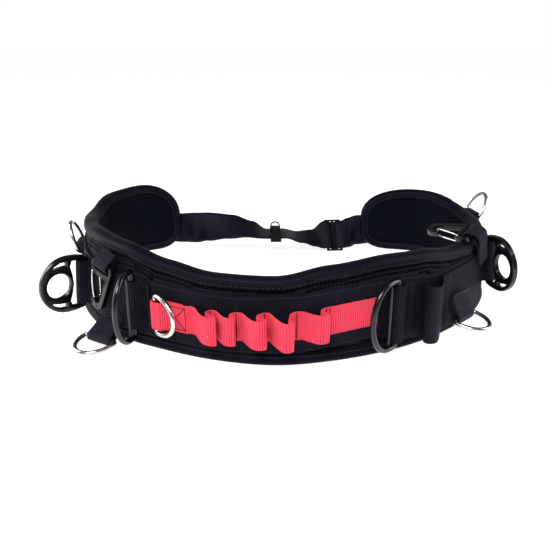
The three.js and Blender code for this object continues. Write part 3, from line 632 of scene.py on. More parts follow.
# %% Lines of cloth
CARRIER_N = LAYER["pad"] / 2 + 0.4 + LAYER["web"] / 2
OVER_N = CARRIER_N + LAYER["web"] + 0.4
TOP_N = OVER_N + LAYER["web"] + LAYER["gap"]
CARRIER = {"from": -400, "to": 430, "low": 12, "high": 63}
BAND_LIFT = {
    "s": [-250, -100, -40, 10, 80, 105, 140, 250],
    "lift": [1, -1, -2, 0, 4.5, 4, -0.5, -1],
}


def lift(s):
    return smooth_read(BAND_LIFT, "lift", s)


def spline(rows):
    """Dense points along a smooth line through rows of two numbers."""
    p = np.array(rows, float)
    t = np.linspace(0, 1, 24, endpoint=False)[:, None]
    parts = []
    for i in range(len(p) - 1):
        a, b, c, d = p[max(i - 1, 0)], p[i], p[i + 1], p[min(i + 2, len(p) - 1)]
        bend, twist = 2 * a - 5 * b + 4 * c - d, 3 * b - a - 3 * c + d
        parts.append(0.5 * (2 * b + (c - a) * t + bend * t**2 + twist * t**3))
    return np.concatenate(parts + [p[-1:]])


def arc(cx, cy, radius, start, stop, steps=20):
    turn = np.radians(np.linspace(start, stop, steps + 1))
    return np.column_stack([cx + radius * np.cos(turn), cy + radius * np.sin(turn)])


def even(line, step):
    """The same line with points about step apart."""
    line = np.array(line, float)
    line = line[np.concatenate([[True], np.linalg.norm(np.diff(line, axis=0), axis=1) > 1e-6])]
    at = distances(line)
    return read_line(np.linspace(0, at[-1], max(2, int(round(at[-1] / step)) + 1)), at, line)


def band(line, low, high, step=1.5, columns=11, follow_lift=True):
    """A grid of webbing standing on edge along a line of (s, n)."""
    line = even(line, step)
    across = np.linspace(low, high, columns)
    s = np.repeat(line[:, :1], columns, 1)
    n = np.repeat(line[:, 1:], columns, 1)
    z = np.repeat(across[None], len(line), 0)
    if follow_lift:
        z = z + lift(line[:, 0])[:, None]
    return on_belt(s, n, z)


print("layers at", [round(v, 2) for v in (CARRIER_N, OVER_N, TOP_N)], "mm")

# %% [markdown]
# ## The pad
#
# The pad is foam between a smooth lining and a woven shell, 9 mm thick. A modelled slab would look hard,
# so the cover is blown up a little by a short cloth simulation while the seams hold it: under the binding
# and under the sewn webbing nothing moves, and the free cloth between them swells. After it, three shallow
# channels are pressed into the shell above and below the webbing, where the real one has quilted rows.
# The faces deep in the channels take a darker copy of the shell, a painted shade in the grooves.

# %% Pad outline
PAD_TOP = {
    "s": [-452, -403, -362, -310, -245, -185, -135, -95, -50, 0, 45, 90, 130, 180, 215, 350, 415, 489],
    "top": [80, 83, 82, 77, 83, 90, 89, 81, 76, 76, 83, 86, 84, 76, 71, 70, 77, 77],
}
PAD_END = {"height": 33, "flat": 0.22, "power": 2.2}
LEFT_END = {"s": -452, "top": 44, "bottom": 32}
RIGHT_END = {"s": 489, "top": 66, "bottom": 36}


def end_shrink(distance, radius):
    t = np.clip(distance / radius, 0, 1)
    curve = (1 - (1 - t) ** PAD_END["power"]) ** (1 / PAD_END["power"])
    return PAD_END["flat"] + (1 - PAD_END["flat"]) * curve


def pad_edges(s):
    """The lower and upper bound edge at places s."""
    left, right = s - LEFT_END["s"], RIGHT_END["s"] - s
    top, bottom = (
        np.minimum(end_shrink(left, LEFT_END[edge]), end_shrink(right, RIGHT_END[edge]))
        for edge in ("top", "bottom")
    )
    height = PAD_END["height"]
    return height * (1 - bottom), height + (smooth_read(PAD_TOP, "top", s) - height) * top


def pad_stations(step):
    """Places along the pad, closer together at its two round ends."""
    ease = lambda size: size * (1 - np.cos(np.linspace(0, math.pi / 2, 15)))
    left = LEFT_END["s"] + ease(max(LEFT_END["top"], LEFT_END["bottom"]))
    right = RIGHT_END["s"] - ease(max(RIGHT_END["top"], RIGHT_END["bottom"]))
    middle = np.arange(left[-1] + step, right[-1] - step * 0.5, step)
    return np.concatenate([left, middle, right[::-1]])


stations = pad_stations(4.5)
edge_low, edge_high = pad_edges(stations)
edge_loop = np.concatenate([
    np.column_stack([stations, edge_low]),
    np.column_stack([stations, edge_high])[::-1],
])
edge_loop = even(np.concatenate([edge_loop, edge_loop[:1]]), 3.0)[:-1]


def smooth_loop(loop, rounds):
    for _ in range(rounds):
        loop = 0.5 * loop + 0.25 * (np.roll(loop, 1, 0) + np.roll(loop, -1, 0))
    return loop


edge_loop = smooth_loop(edge_loop, 3)
EDGE_LENGTH = float(np.linalg.norm(np.roll(edge_loop, -1, 0) - edge_loop, axis=1).sum()) * MM
print("bound edge", round(EDGE_LENGTH, 3), "m round")

# %% Pad cover
PAD = {"inset": 3.0, "columns": 46, "crowd": 0.92, "round": 0.12, "seam": 6.0}
low, high = edge_low + PAD["inset"], edge_high - PAD["inset"]
inner_s = np.clip(stations, LEFT_END["s"] + PAD["inset"], RIGHT_END["s"] - PAD["inset"])
share = 0.5 - 0.5 * np.cos(np.linspace(0, math.pi, PAD["columns"])) * PAD["crowd"]
share[0], share[-1] = 0, 1
pad_z = low[:, None] + (high - low)[:, None] * share[None]
pad_s = np.repeat(inner_s[:, None], PAD["columns"], 1)
half = LAYER["pad"] / 2 * (np.sin(share * math.pi) ** PAD["round"])[None]
outer = on_belt(pad_s, half, pad_z)
inner = on_belt(pad_s, -half, pad_z)
rows, columns = pad_z.shape
pad_points = np.concatenate([outer.reshape(-1, 3), inner[:, 1:-1].reshape(-1, 3)])


def pad_index(i, j, side):
    if side == 0 or j in (0, columns - 1):
        return i * columns + j
    return rows * columns + i * (columns - 2) + j - 1


pad_faces = two_sided(rows, columns, pad_index)
for i, turn in ((0, 1), (rows - 1, -1)):
    for j in range(columns - 1):
        ring = [pad_index(i, *corner) for corner in ((j, 0), (j + 1, 0), (j + 1, 1), (j, 1))]
        pad_faces.append(list(dict.fromkeys(ring))[::turn])
cover_s, cover_z = (np.concatenate([v.ravel(), v[:, 1:-1].ravel()]) for v in (pad_s, pad_z))
pad_cover = new_mesh_object("pad_cover", pad_points, pad_faces, np.column_stack([cover_s, cover_z]) * MM)

side_n = np.concatenate([np.full(rows * columns, 1.0), np.full(rows * (columns - 2), -1.0)])
cover_low = np.interp(cover_s, stations, low)
cover_high = np.interp(cover_s, stations, high)
to_rim = np.minimum(cover_z - cover_low, cover_high - cover_z)
to_rim = np.minimum(to_rim, np.minimum(cover_s - inner_s[0], inner_s[-1] - cover_s))
under_web = (
    (side_n > 0) & (cover_s > CARRIER["from"] - 2) & (cover_s < CARRIER["to"] + 2)
    & (cover_z > CARRIER["low"] - 1 + lift(cover_s)) & (cover_z < CARRIER["high"] + 1 + lift(cover_s))
)
held = (to_rim < PAD["seam"]) | under_web
print("pad cover", len(pad_points), "points,", int(held.sum()), "held by seams")

# %% Swell the pad
SWELL = {"pressure": 4.0, "mass": 0.3, "stretch": 25, "bend": 2, "frames": 20, "most": 5.0}

seams = pad_cover.vertex_groups.new(name="seams")
seams.add(np.flatnonzero(held).tolist(), 1.0, "REPLACE")
swell = pad_cover.modifiers.new("swell", "CLOTH")
swell.settings.vertex_group_mass = "seams"
swell.settings.use_pressure = True
swell.settings.uniform_pressure_force = SWELL["pressure"]
swell.settings.mass = SWELL["mass"]
swell.settings.tension_stiffness = swell.settings.compression_stiffness = SWELL["stretch"]
swell.settings.bending_stiffness = SWELL["bend"]
swell.settings.effector_weights.gravity = 0
swell.point_cache.frame_start, swell.point_cache.frame_end = 1, SWELL["frames"]
for frame_number in range(1, SWELL["frames"] + 1):
    bpy.context.scene.frame_set(frame_number)
seen = pad_cover.evaluated_get(bpy.context.evaluated_depsgraph_get()).to_mesh()
swollen = np.zeros(len(pad_points) * 3, np.float32)
seen.vertices.foreach_get("co", swollen)
moved = swollen.reshape(-1, 3).astype(float) - pad_points
size = np.linalg.norm(moved, axis=1, keepdims=True)
moved *= np.minimum(1, SWELL["most"] * MM / np.maximum(size, 1e-9))
pad_cover.modifiers.remove(swell)
pad_cover.vertex_groups.remove(seams)
bpy.context.scene.frame_set(1)
print("swelled by up to", round(float(size.max()) * 1000, 1), "mm")

# %% Channels in the shell
CHANNELS = {
    "first": 11.4, "pitch": 3.9, "width": 1.3, "depth": 1.7, "to_web": 1.0, "rows": 3, "shade_from": 0.5,
    "from_left": 45, "from_right": 60,
}
WAVES = {"scale": 14.0, "height": 0.4, "from_rim": 6}


def channel_row(s, k, face):
    """Height of one quilted row, and where it shows: between the binding and the webbing."""
    low_edge, high_edge = pad_edges(s)
    inset = CHANNELS["first"] + k * CHANNELS["pitch"]
    if face == "upper":
        z = high_edge - inset
        return z, z > CARRIER["high"] + lift(s) + CHANNELS["to_web"]
    z = low_edge + inset
    return z, z < CARRIER["low"] + lift(s) - CHANNELS["to_web"]


pad_cover.data.vertices.foreach_set("co", (pad_points + moved).ravel().astype(np.float32))
measures = {"along": cover_s, "up": cover_z, "side": side_n, "rim": to_rim}
for label, values in measures.items():
    layer = pad_cover.data.attributes.new(label, "FLOAT", "POINT")
    layer.data.foreach_set("value", values.astype(np.float32))
for finish in ("shell", "lining", "channel"):
    pad_cover.data.materials.append(CLOTH[finish])
face_side = np.zeros(len(pad_cover.data.polygons), np.int32)
face_side[1 : 2 * (rows - 1) * (columns - 1) : 2] = 1
pad_cover.data.polygons.foreach_set("material_index", face_side)
make_active(pad_cover)
finer = pad_cover.modifiers.new("finer", "SUBSURF")
finer.levels = finer.render_levels = 1
bpy.ops.object.modifier_apply(modifier=finer.name)


def read_points(mesh, label):
    values = np.zeros(len(mesh.vertices), np.float32)
    mesh.attributes[label].data.foreach_get("value", values)
    return values.astype(float)


fine_s, fine_z, fine_side, fine_rim = (read_points(pad_cover.data, label) for label in measures)
depth = np.zeros(len(fine_s))
for k in range(CHANNELS["rows"]):
    for face in ("upper", "lower"):
        row, shows = channel_row(fine_s, k, face)
        depth += shows * np.exp(-(((fine_z - row) / CHANNELS["width"]) ** 2))
depth *= (fine_s > LEFT_END["s"] + CHANNELS["from_left"]) & (fine_s < RIGHT_END["s"] - CHANNELS["from_right"])
depth *= fine_side > 0
waves = soft_noise(np.column_stack([fine_s, fine_z, fine_side * 40]), WAVES["scale"]) * WAVES["height"]
waves *= (fine_rim > WAVES["from_rim"]) * fine_side
fine_points = np.zeros(len(fine_s) * 3, np.float32)
pad_cover.data.vertices.foreach_get("co", fine_points)
fine_points = fine_points.reshape(-1, 3).astype(float)
_, outward, _ = belt_frame(fine_s)
fine_points[:, :2] += outward * ((waves - depth * CHANNELS["depth"]) * MM)[:, None]
pad_cover.data.vertices.foreach_set("co", fine_points.ravel().astype(np.float32))
pad_cover.data.update()
for label in measures:
    pad_cover.data.attributes.remove(pad_cover.data.attributes[label])
# Faces deep in a channel take the darker copy of the shell, a painted shade in the groove.
in_channel = 0
for face in pad_cover.data.polygons:
    if depth[list(face.vertices)].mean() > CHANNELS["shade_from"]:
        face.material_index = 2
        in_channel += 1
print("channel faces", in_channel)
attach(pad_cover, BELT)
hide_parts("belt_pad")
print("pad cover", len(pad_cover.data.polygons), "faces")

# %% [markdown]
# ## The binding
#
# The edge is the most visible part of the pad: a tape folded over a soft roll, so it is fatter than the
# pad, with a groove where it is stitched down. It is one tube of cloth swept round the bound edge. Small
# dents at each stitch and slow puckers between them keep it from looking like a rubber hose.

# %% Rolled edge binding
# Each row is a place on the tape: how far in from the edge, how far out from the pad's middle, and how
# much of the pucker it takes.
BINDING = [
    (9.4, 4.95, 0.2), (8.2, 5.35, 0.6), (7.2, 5.15, 1.0), (6.3, 5.7, 0.8), (5.0, 6.6, 0.5),
    (3.4, 7.0, 0.3), (1.6, 6.4, 0.2), (0.4, 4.9, 0.2), (-0.3, 2.6, 0.2), (-0.5, 0.0, 0.2),
]
PADDED_CORE = [(9.4, -4.55), (6.0, -4.6), (3.0, -4.6), (3.0, 0.0), (3.0, 4.6), (6.0, 4.6), (9.4, 4.55)]
PUCKER = {"slow": 0.05, "slow_scale": 6.5, "stitch": 0.065, "pitch": 4.2}
PRESSED = {"s": 350, "reach": 30, "fade": 8, "from_z": 60, "n": 4.8, "z": 69, "slope": 0.92}
LOWEST = 0.25

profile = BINDING + [(inset, -n, share) for inset, n, share in BINDING[-2::-1]]
section = np.array(profile + [(inset, n, 0.0) for inset, n in PADDED_CORE])
bound = even(np.concatenate([edge_loop, edge_loop[:1]]), 1.5)[:-1]
bound_along = unit(np.roll(bound, -1, 0) - np.roll(bound, 1, 0))
bound_inward = np.column_stack([-bound_along[:, 1], bound_along[:, 0]])
path = distances(bound)
dents = np.cos(path * 2 * math.pi / PUCKER["pitch"])
slow = soft_noise(np.column_stack([path, path * 0.3, path * 0]), PUCKER["slow_scale"])
grid_s, grid_z = (bound[:, None, k] + bound_inward[:, None, k] * section[None, :, 0] for k in (0, 1))
pucker = PUCKER["slow"] * slow[:, None] + PUCKER["stitch"] * dents[:, None]
grid_n = section[None, :, 1] * (1 + pucker * section[None, :, 2])
# The rear right ring swings up against the top edge, so the roll is pressed off there at a slant.
beside = np.clip((PRESSED["reach"] - np.abs(grid_s - PRESSED["s"])) / PRESSED["fade"], 0, 1)
beside *= grid_z > PRESSED["from_z"]
allowed = PRESSED["n"] - PRESSED["slope"] * (grid_z - PRESSED["z"])
grid_n -= beside * np.maximum(grid_n - allowed, 0)
binding_grid = on_belt(grid_s, grid_n, np.maximum(grid_z, LOWEST))
ring_count, ring_size = binding_grid.shape[:2]
faces = []
for i in range(ring_count):
    for k in range(ring_size):
        a, b = i * ring_size, ((i + 1) % ring_count) * ring_size
        nxt = (k + 1) % ring_size
        faces.append([a + k, a + nxt, b + nxt, b + k])
section_length = distances(section[:, :2])
uv = np.stack(np.meshgrid(path, section_length, indexing="ij"), 2).reshape(-1, 2) * MM
binding = new_mesh_object("rolled_edge_binding", binding_grid.reshape(-1, 3), faces, uv)
make_active(binding)
bpy.ops.object.mode_set(mode="EDIT")
bpy.ops.mesh.select_all(action="SELECT")
bpy.ops.mesh.normals_make_consistent(inside=False)
bpy.ops.object.mode_set(mode="OBJECT")
wrap_width = float(section_length[len(profile) - 1]) * MM
finish_sheet(
    binding, (wrap_width, EDGE_LENGTH), CLOTH["binding"], "edge_binding"
)

# %% [markdown]
# ## Webbing sewn on the pad
#
# Each band is laid along its own line of (s, n). The black carrier goes nearly all the way round. The red
# webbing folds round its ring at the left, lies flat under a cross-stitched box, and then stands out in
# five leaning loops. The black side webbing folds round the large rings.

# %% Carrier webbing
carrier_line = [(CARRIER["from"], CARRIER_N), (CARRIER["to"], CARRIER_N)]
carrier_grid = band(carrier_line, CARRIER["low"], CARRIER["high"], step=3.0, columns=13)
sew("carrier_band", carrier_grid, "webbing", "carrier_webbing")

# %% Red webbing with its loops
RED = {"low": 24.5, "high": 49.5, "fold_bar": -100, "fold_round": 3.6, "box_end": -72, "to": 84}
# Each loop: where it leaves the pad and comes back, where its tip is, its hook and its depth.
RED_LOOPS = [
    (-70, -51, -42.5, 1.5, 14), (-51, -30, -28.5, 4, 11), (-30, -8, -5.5, 5, 16),
    (-8, 16, 12, 6, 21), (16, 39, 39, 5, 13),
]


def red_loop(start, end, tip, hook, depth):
    rise, back = tip - start, end - hook
    points = [
        (start + rise * 0.2, depth * 0.06), (start + rise * 0.42, depth * 0.52),
        (start + rise * 0.62, depth * 0.9), (tip - 4.5, depth), (tip - 0.4, depth * 0.88),
        (tip - 3, depth * 0.66), (back, depth * 0.44), (back + hook * 0.1, depth * 0.2),
        (end - hook * 0.4 + 0.4, 0.4), (end + 1, 0),
    ]
    return [(s, OVER_N + n) for s, n in points]


red_bar_n = OVER_N + RED["fold_round"]
red_line = np.concatenate([
    [(RED["box_end"] - 3.5, OVER_N)],
    arc(RED["fold_bar"], red_bar_n, RED["fold_round"], -90, -270),
    [
        (RED["fold_bar"] + 6, OVER_N + 7.1), (RED["fold_bar"] + 11, OVER_N + 3.4),
        (RED["fold_bar"] + 15, TOP_N),
        (RED["box_end"], TOP_N), (RED["box_end"] + 3, OVER_N + 0.2),
    ],
    spline([(-70, OVER_N)] + [p for row in RED_LOOPS for p in red_loop(*row)] + [(44, OVER_N)])[1:],
    [(RED["to"], OVER_N)],
])
red_grid = band(red_line, RED["low"], RED["high"], step=1.0, columns=11)
sew("red_loops_band", red_grid, "red", "red_webbing")

# %% Right side webbing with its tool loop
RIGHT_WEB = {"low": 7.5, "high": 59.5, "end": 236}
RIGHT_BAR = {"s": 99.5, "n": 11.3, "round": 3.6}
tool_loop = spline(np.array([
    (126, 0), (130.5, 0.6), (128.5, 4.5), (123.5, 10), (123.5, 14), (128, 15.6), (134, 14.5), (142, 9),
    (150, 2.4), (156, 0),
]) + (0, TOP_N))
right_line = np.concatenate([
    [(RIGHT_BAR["s"] + 20, OVER_N)],
    arc(RIGHT_BAR["s"], RIGHT_BAR["n"], RIGHT_BAR["round"], -90, -270),
    [
        (RIGHT_BAR["s"] + 4.5, RIGHT_BAR["n"] + 3.9), (RIGHT_BAR["s"] + 9, TOP_N + 1.6),
        (RIGHT_BAR["s"] + 13, TOP_N),
    ],
    tool_loop,
    [(162, TOP_N), (169, OVER_N + 0.1), (RIGHT_WEB["end"], OVER_N)],
])
right_grid = band(right_line, RIGHT_WEB["low"], RIGHT_WEB["high"], step=1.5, columns=15)
sew("right_side_band", right_grid, "webbing", "right_side_webbing")

# %% Left side webbing
LEFT_WEB = {"low": 20, "high": 63, "end": -226}
left_tunnel = spline(np.array([
    (-111, 0), (-113.5, 1.6), (-116.2, 5.4), (-119.5, 7.8), (-123.5, 8), (-127, 6.4), (-128, 3.6),
    (-129, 0.8), (-132, 0),
]) + (0, OVER_N))
left_line = np.concatenate([[(-107.8, OVER_N)], left_tunnel, [(LEFT_WEB["end"], OVER_N)]])
left_grid = band(left_line[::-1], LEFT_WEB["low"], LEFT_WEB["high"], step=1.5, columns=13)
sew("left_side_band", left_grid, "webbing", "left_side_webbing")

# %% Sleeves of the side rings
SLEEVE = {"bar_n": 14.2, "round": 5.5, "foot": 14, "height": 41}
for side, s, z in (("left", -198, 40), ("right", 247, 47)):
    rise = np.array([
        (-SLEEVE["foot"], TOP_N), (-SLEEVE["round"] - 2.6, TOP_N), (-SLEEVE["round"] - 0.6, TOP_N + 1.2),
        (-SLEEVE["round"], TOP_N + 3.2),
    ])
    line = np.concatenate([
        rise, arc(0, SLEEVE["bar_n"], SLEEVE["round"], 180, 0), rise[::-1] * (-1, 1),
    ]) + (s, 0)
    low_z = z - SLEEVE["height"] / 2
    grid = band(line, low_z, low_z + SLEEVE["height"], step=1.2, columns=11, follow_lift=False)
    sew(f"{side}_ring_fold", grid, "webbing", f"{side}_ring_sleeve")

# %% [markdown]
# ## Tabs and the rear strap
#
# A tab is drawn in its own small frame on the belt: its line goes out from the pad, round the ring or the
# hook, and back. The strap has its own table of places and roll, because it turns to lie flat at the back.


# %% Tab frames
TAB_COLUMNS = 9
WIDTH = {"ring tab": 25, "clip tab": 17}


def belt_place(s, n, z):
    """A frame at a place on the belt: x along it, -y outward, leaning with the wall."""
    point, outward, lean = belt_frame(s)
    turn = math.atan2(outward[0][0], -outward[0][1])
    base = Matrix.Rotation(turn, 4, "Z") @ Matrix.Rotation(math.atan(lean[0]), 4, "X")
    return Matrix.Translation(Vector(on_belt(s, n, z).reshape(3))) @ base


def turned(x=0, y=0, z=0):
    """Turns in degrees about X, then Y, then Z of the frame they are in."""
    return (
        Matrix.Rotation(math.radians(x), 4, "X") @ Matrix.Rotation(math.radians(y), 4, "Y")
        @ Matrix.Rotation(math.radians(z), 4, "Z")
    )


def tab(name, node, rows, width, place):
    """A folded tab: rows are (out, up) in the frame called place."""
    line = even(spline(rows), 0.8)
    local = np.zeros((len(line), TAB_COLUMNS, 3))
    local[:, :, 0] = (np.linspace(-0.5, 0.5, TAB_COLUMNS) * width)[None]
    local[:, :, 1] = -line[:, :1]
    local[:, :, 2] = line[:, 1:]
    m = np.array(place)
    world_grid = (local * MM) @ m[:3, :3].T + m[:3, 3]
    sew(name, world_grid, "tab", node)


# Each tab: its name, s, n, z, its turn in degrees, and how far its ring's bar is out and up.
RING_TABS = [
    ("low_left_tab", -149, 11, 18, 8, 15, -11.6),
    ("low_right_tab", 179, 10.1, 29.5, 0, 5, -16),
    ("rear_left_tab", -292, 7.9, 38, 3, 6, 6),
    ("rear_right_tab", 350, 7.9, 57, -3, 6, 6),
]
for node, s, n, z, yaw, reach, drop in RING_TABS:
    way = np.array([reach, drop]) / math.hypot(reach, drop)
    side = np.array([-way[1], way[0]])
    at = lambda a, b: tuple(np.array([reach, drop]) + way * a + side * b)
    up = math.copysign(1, drop)
    layer = LAYER["web"] + LAYER["gap"]
    rows_2d = [
        (0, -up * 7), (0, 0), at(-5, 3.2 * up), at(0, 3.9 * up), at(3.8, 0), at(0, -3.9 * up),
        at(-5, -3.4 * up), (layer, -up * 1.5), (layer, -up * 8),
    ]
    place = belt_place(s, n, z) @ turned(z=yaw)
    tab(f"{node}_fold", node, rows_2d, WIDTH["ring tab"], place)

# %% Clip tabs
CLIP_TABS = [
    ("left_clip_tab", -152.5, 7.4, 79, 13, 0, [
        (0, -1), (0.2, -8), (1, -13.4), (5.2, -16.6), (9.2, -14), (9.2, -9.6), (4.6, -4), (1.5, -1.6),
        (1.5, 0.4),
    ]),
    ("right_clip_tab", 222, 10.6, 72, -17, -8, [
        (1.5, -22), (1.5, -8), (2.6, 0), (2.4, 7), (-1.6, 11.6), (-8, 12.4), (-13.2, 9.6), (-12.4, 4.6),
        (-8, 2.9), (-3, 3.6), (0.2, -1), (0, -8), (0, -14),
    ]),
]
for node, s, n, z, lean, yaw, rows_2d in CLIP_TABS:
    place = belt_place(s, n, z) @ turned(y=lean, z=yaw)
    tab(f"{node}_fold", node, rows_2d, WIDTH["clip tab"], place)

# %% Rear waist strap
STRAP_N = CARRIER_N + LAYER["web"] / 2 + 2 * LAYER["gap"] + 0.75
STRAP = {
    "s": [396, 430, 470, 493, 504, 512, 534, 548, 566, 586, 610, 629, 655, 680, 700, 716, 740, 800],
    "n": [STRAP_N] * 4 + [3] + [0] * 9 + [2] + [STRAP_N] * 3,
    "z": [33, 30, 23, 21, 19, 17, 17, 14, 16, 21.5, 21.5, 27, 29, 27, 24, 22, 25, 33],
    "roll": [0, 0, 0, 6, 30, 43, 43, 74, 85, 89, 89, 75, 55, 38, 20, 3, 0, 0],
}
ADJUSTER = {"s": 523, "reach": 8.4, "offset": 2.05, "bar": 1.8, "slope": 4.6, "flat": 3, "fade": 8}
HALF_STRAP = 19
STRAP_THICK = 1.5

strap_s = np.arange(STRAP["s"][0], STRAP["s"][-1] + 0.5, 1.6)
strap_middle = on_belt(strap_s, smooth_read(STRAP, "n", strap_s), smooth_read(STRAP, "z", strap_s))
_, outward, _ = belt_frame(strap_s)
roll = np.radians(smooth_read(STRAP, "roll", strap_s))[:, None]
out3 = np.column_stack([outward, np.zeros(len(outward))])
up3 = np.array([[0, 0, 1.0]])
strap_across = out3 * np.sin(roll) + up3 * np.cos(roll)
strap_face = out3 * np.cos(roll) - up3 * np.sin(roll)
# At the adjuster the strap lies over the middle bar and passes behind both sides of the frame.
distance = np.abs(strap_s - ADJUSTER["s"])
off_bar = np.clip((distance - ADJUSTER["bar"]) / ADJUSTER["slope"], 0, 1)
fade = np.clip((distance - ADJUSTER["reach"] - ADJUSTER["flat"]) / ADJUSTER["fade"], 0, 1)
thread_n = (ADJUSTER["offset"] * (1 - 2 * off_bar)) * (1 - fade)
strap_grid = (
    strap_middle[:, None]
    + strap_across[:, None] * (np.linspace(-1, 1, 11) * HALF_STRAP * MM)[None, :, None]
    + strap_face[:, None] * (thread_n * MM)[:, None, None]
)
sew(
    "rear_strap_band", strap_grid, "strap", "waist_strap", thickness=STRAP_THICK
)

# %% [markdown]
# ## Rings, clips and plastic
#
# The hard pieces keep the CAD shape exactly where they are hinged, so each is a copy of its solid: the
# doubled points are merged, faceted wire is smoothed by subdivision, and moulded plates get a rounded
# edge. Modelling them again would risk a ring that no longer fits its fold.


# %% Dress a hard piece
DRESS = {"merge": 0.00002, "flat": 2, "wire_levels": 2, "edge_steps": 3, "edge_from": 34, "smooth_to": 40}


def dress(node, name, body, material, fatten=0.0, bevel=0.0):
    """Copies a solid. One with a bevel is a moulding, and any other is a wire, rounded and fattened."""
    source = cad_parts[node]
    piece = bpy.data.objects.new(name, source.data.copy())
    bpy.context.collection.objects.link(piece)
    piece.matrix_world = source.matrix_world
    make_active(piece)
    bpy.ops.object.mode_set(mode="EDIT")
    bpy.ops.mesh.select_all(action="SELECT")
    bpy.ops.mesh.remove_doubles(threshold=DRESS["merge"])
    if bevel:
        bpy.ops.mesh.dissolve_limited(angle_limit=math.radians(DRESS["flat"]))
    else:
        bpy.ops.mesh.tris_convert_to_quads()
    bpy.ops.mesh.normals_make_consistent(inside=False)
    if fatten:
        bpy.ops.transform.shrink_fatten(value=fatten)
    bpy.ops.object.mode_set(mode="OBJECT")
    if bevel:
        edge = piece.modifiers.new("moulded edge", "BEVEL")
        edge.width = bevel
        edge.segments = DRESS["edge_steps"]
        edge.limit_method = "ANGLE"
        edge.angle_limit = math.radians(DRESS["edge_from"])
        bpy.ops.object.modifier_apply(modifier=edge.name)
        bpy.ops.object.shade_smooth_by_angle(angle=math.radians(DRESS["smooth_to"]))
    else:
        rounder = piece.modifiers.new("round wire", "SUBSURF")
        rounder.levels = rounder.render_levels = DRESS["wire_levels"]
        bpy.ops.object.modifier_apply(modifier=rounder.name)
        bpy.ops.object.shade_smooth()
    piece.data.materials.clear()
    piece.data.materials.append(material)
    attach(piece, body)
    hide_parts(node)
    print(name, "faces", len(piece.data.polygons))


# %% Wire rings and gates
WIRES = [
    ("red_webbing_ring", "red_ring", "steel", 0.0004),
    ("low_left_ring", "low_left", "steel", 0.0004),
    ("low_right_ring", "low_right", "steel", 0.0004),
    ("rear_left_ring", "rear_left", "steel", 0.0004),
    ("rear_right_ring", "rear_right", "steel", 0.0004),
    ("left_clip_gate", "left_gate", "steel", 0.0001),
    ("right_clip_gate", "right_gate", "steel", 0.0001),
    ("right_buckle_rod", "right_buckle", "dark steel", 0.0006),
    ("left_buckle_rod", "left_buckle", "dark steel", 0.0006),
    ("right_buckle_ring", "right_buckle", "plastic", 0.0004),
    ("left_buckle_ring", "left_buckle", "plastic", 0.0004),
]
for node, body, finish, fatten in WIRES:
    dress(node, f"{node}_wire", body, HARD[finish], fatten=fatten)

# %% Moulded pieces
MOULDED = [
    ("left_side_ring", "left_side", "plastic", 0.0006),
    ("right_side_ring", "right_side", "plastic", 0.0006),
    ("left_clip_hook", BELT, "plastic", 0.0009),
    ("right_clip_hook", BELT, "plastic", 0.0009),
    ("strap_keeper", BELT, "dull plastic", 0.0003),
    ("strap_adjuster", BELT, "dull plastic", 0.0004),
]
for node, body, finish, width in MOULDED:
    dress(node, f"{node}_moulded", body, HARD[finish], bevel=width)

# %% [markdown]
# ## Thread
#
# Seams hold the belt together, and their stitches catch the light. Each stitch is a short bead of thread
# whose two ends dip into the cloth. One row of beads is copied along each seam: round the binding on
# both faces, along the webbing, in the quilted channels, and as the crossed box on the red webbing.


# %% Stitch helper
BEAD = [(-0.5, 0.45, -0.8), (-0.3, 0.9, -0.15), (0.0, 1.0, 0.15), (0.3, 0.9, -0.15), (0.5, 0.45, -0.8)]
BEAD_SIDES = 6
AHEAD = 0.0004


def bead_shape(length, radius):
    """Points in metres and faces of one bead: rings of points that dip at both ends."""
    turn = np.linspace(0, 2 * math.pi, BEAD_SIDES, endpoint=False)
    points = np.array([
        (x * length, r * radius * math.cos(a), dip * radius + r * radius * math.sin(a))
        for x, r, dip in BEAD for a in turn
    ]) * MM
    ring = [(i, (i + 1) % BEAD_SIDES) for i in range(BEAD_SIDES)]
    faces = [
        [low + i, low + j, low + BEAD_SIDES + j, low + BEAD_SIDES + i]
        for low in range(0, (len(BEAD) - 1) * BEAD_SIDES, BEAD_SIDES) for i, j in ring
    ]
    last = (len(BEAD) - 1) * BEAD_SIDES
    return points, faces + [list(range(BEAD_SIDES))[::-1], [last + i for i in range(BEAD_SIDES)]]


def stitch_rows(name, rows, finish, pitch=3.0, length=2.3, radius=0.34):
    """Beads of thread along rows of (points, normals) in metres."""
    bead, bead_faces = bead_shape(length, radius)
    points, faces = [], []
    for places, normals in rows:
        at = distances(places)
        number = max(1, int(at[-1] / (pitch * MM)))
        where = (np.arange(number) + 0.5) * at[-1] / number
        centre = read_line(where, at, places)
        along = unit(read_line(where + AHEAD, at, places) - read_line(where - AHEAD, at, places))
        side = unit(np.cross(read_line(where, at, normals), along))
        up = np.cross(along, side)
        for k in range(number):
            start = len(points) * len(bead)
            points.append(centre[k] + bead @ np.stack([along[k], side[k], up[k]]))
            faces += [[start + v for v in face] for face in bead_faces]
    piece = new_mesh_object(name, np.concatenate(points), faces)
    piece.data.materials.append(HARD[finish])
    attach(piece, BELT)
    print(name, len(points), "stitches")


def belt_row(corners):
    """Points and normals along straight runs between corners (s, n, z) on the belt."""
    line = even(corners, 1.0)
    _, outward, lean = belt_frame(line[:, 0])
    return on_belt(line[:, 0], line[:, 1], line[:, 2]), np.column_stack([outward, -lean])


def lifted_row(s_from, s_to, n, z):
    s = np.arange(s_from, s_to + 0.5, 3.0)
    return belt_row(np.column_stack([s, np.full_like(s, n), z + lift(s)]))


def upright_rows(places, n, low, high):
    return [belt_row([(s, n, edge + float(lift(s)[0])) for edge in (low, high)]) for s in places]


# %% Seams
ON = LAYER["web"] / 2 + 0.1
GROOVE = {"inset": 7.2, "n": 5.3}
FROM_EDGE = 2
LOOP_FEET = (-51, -30, -8, 16, 39)

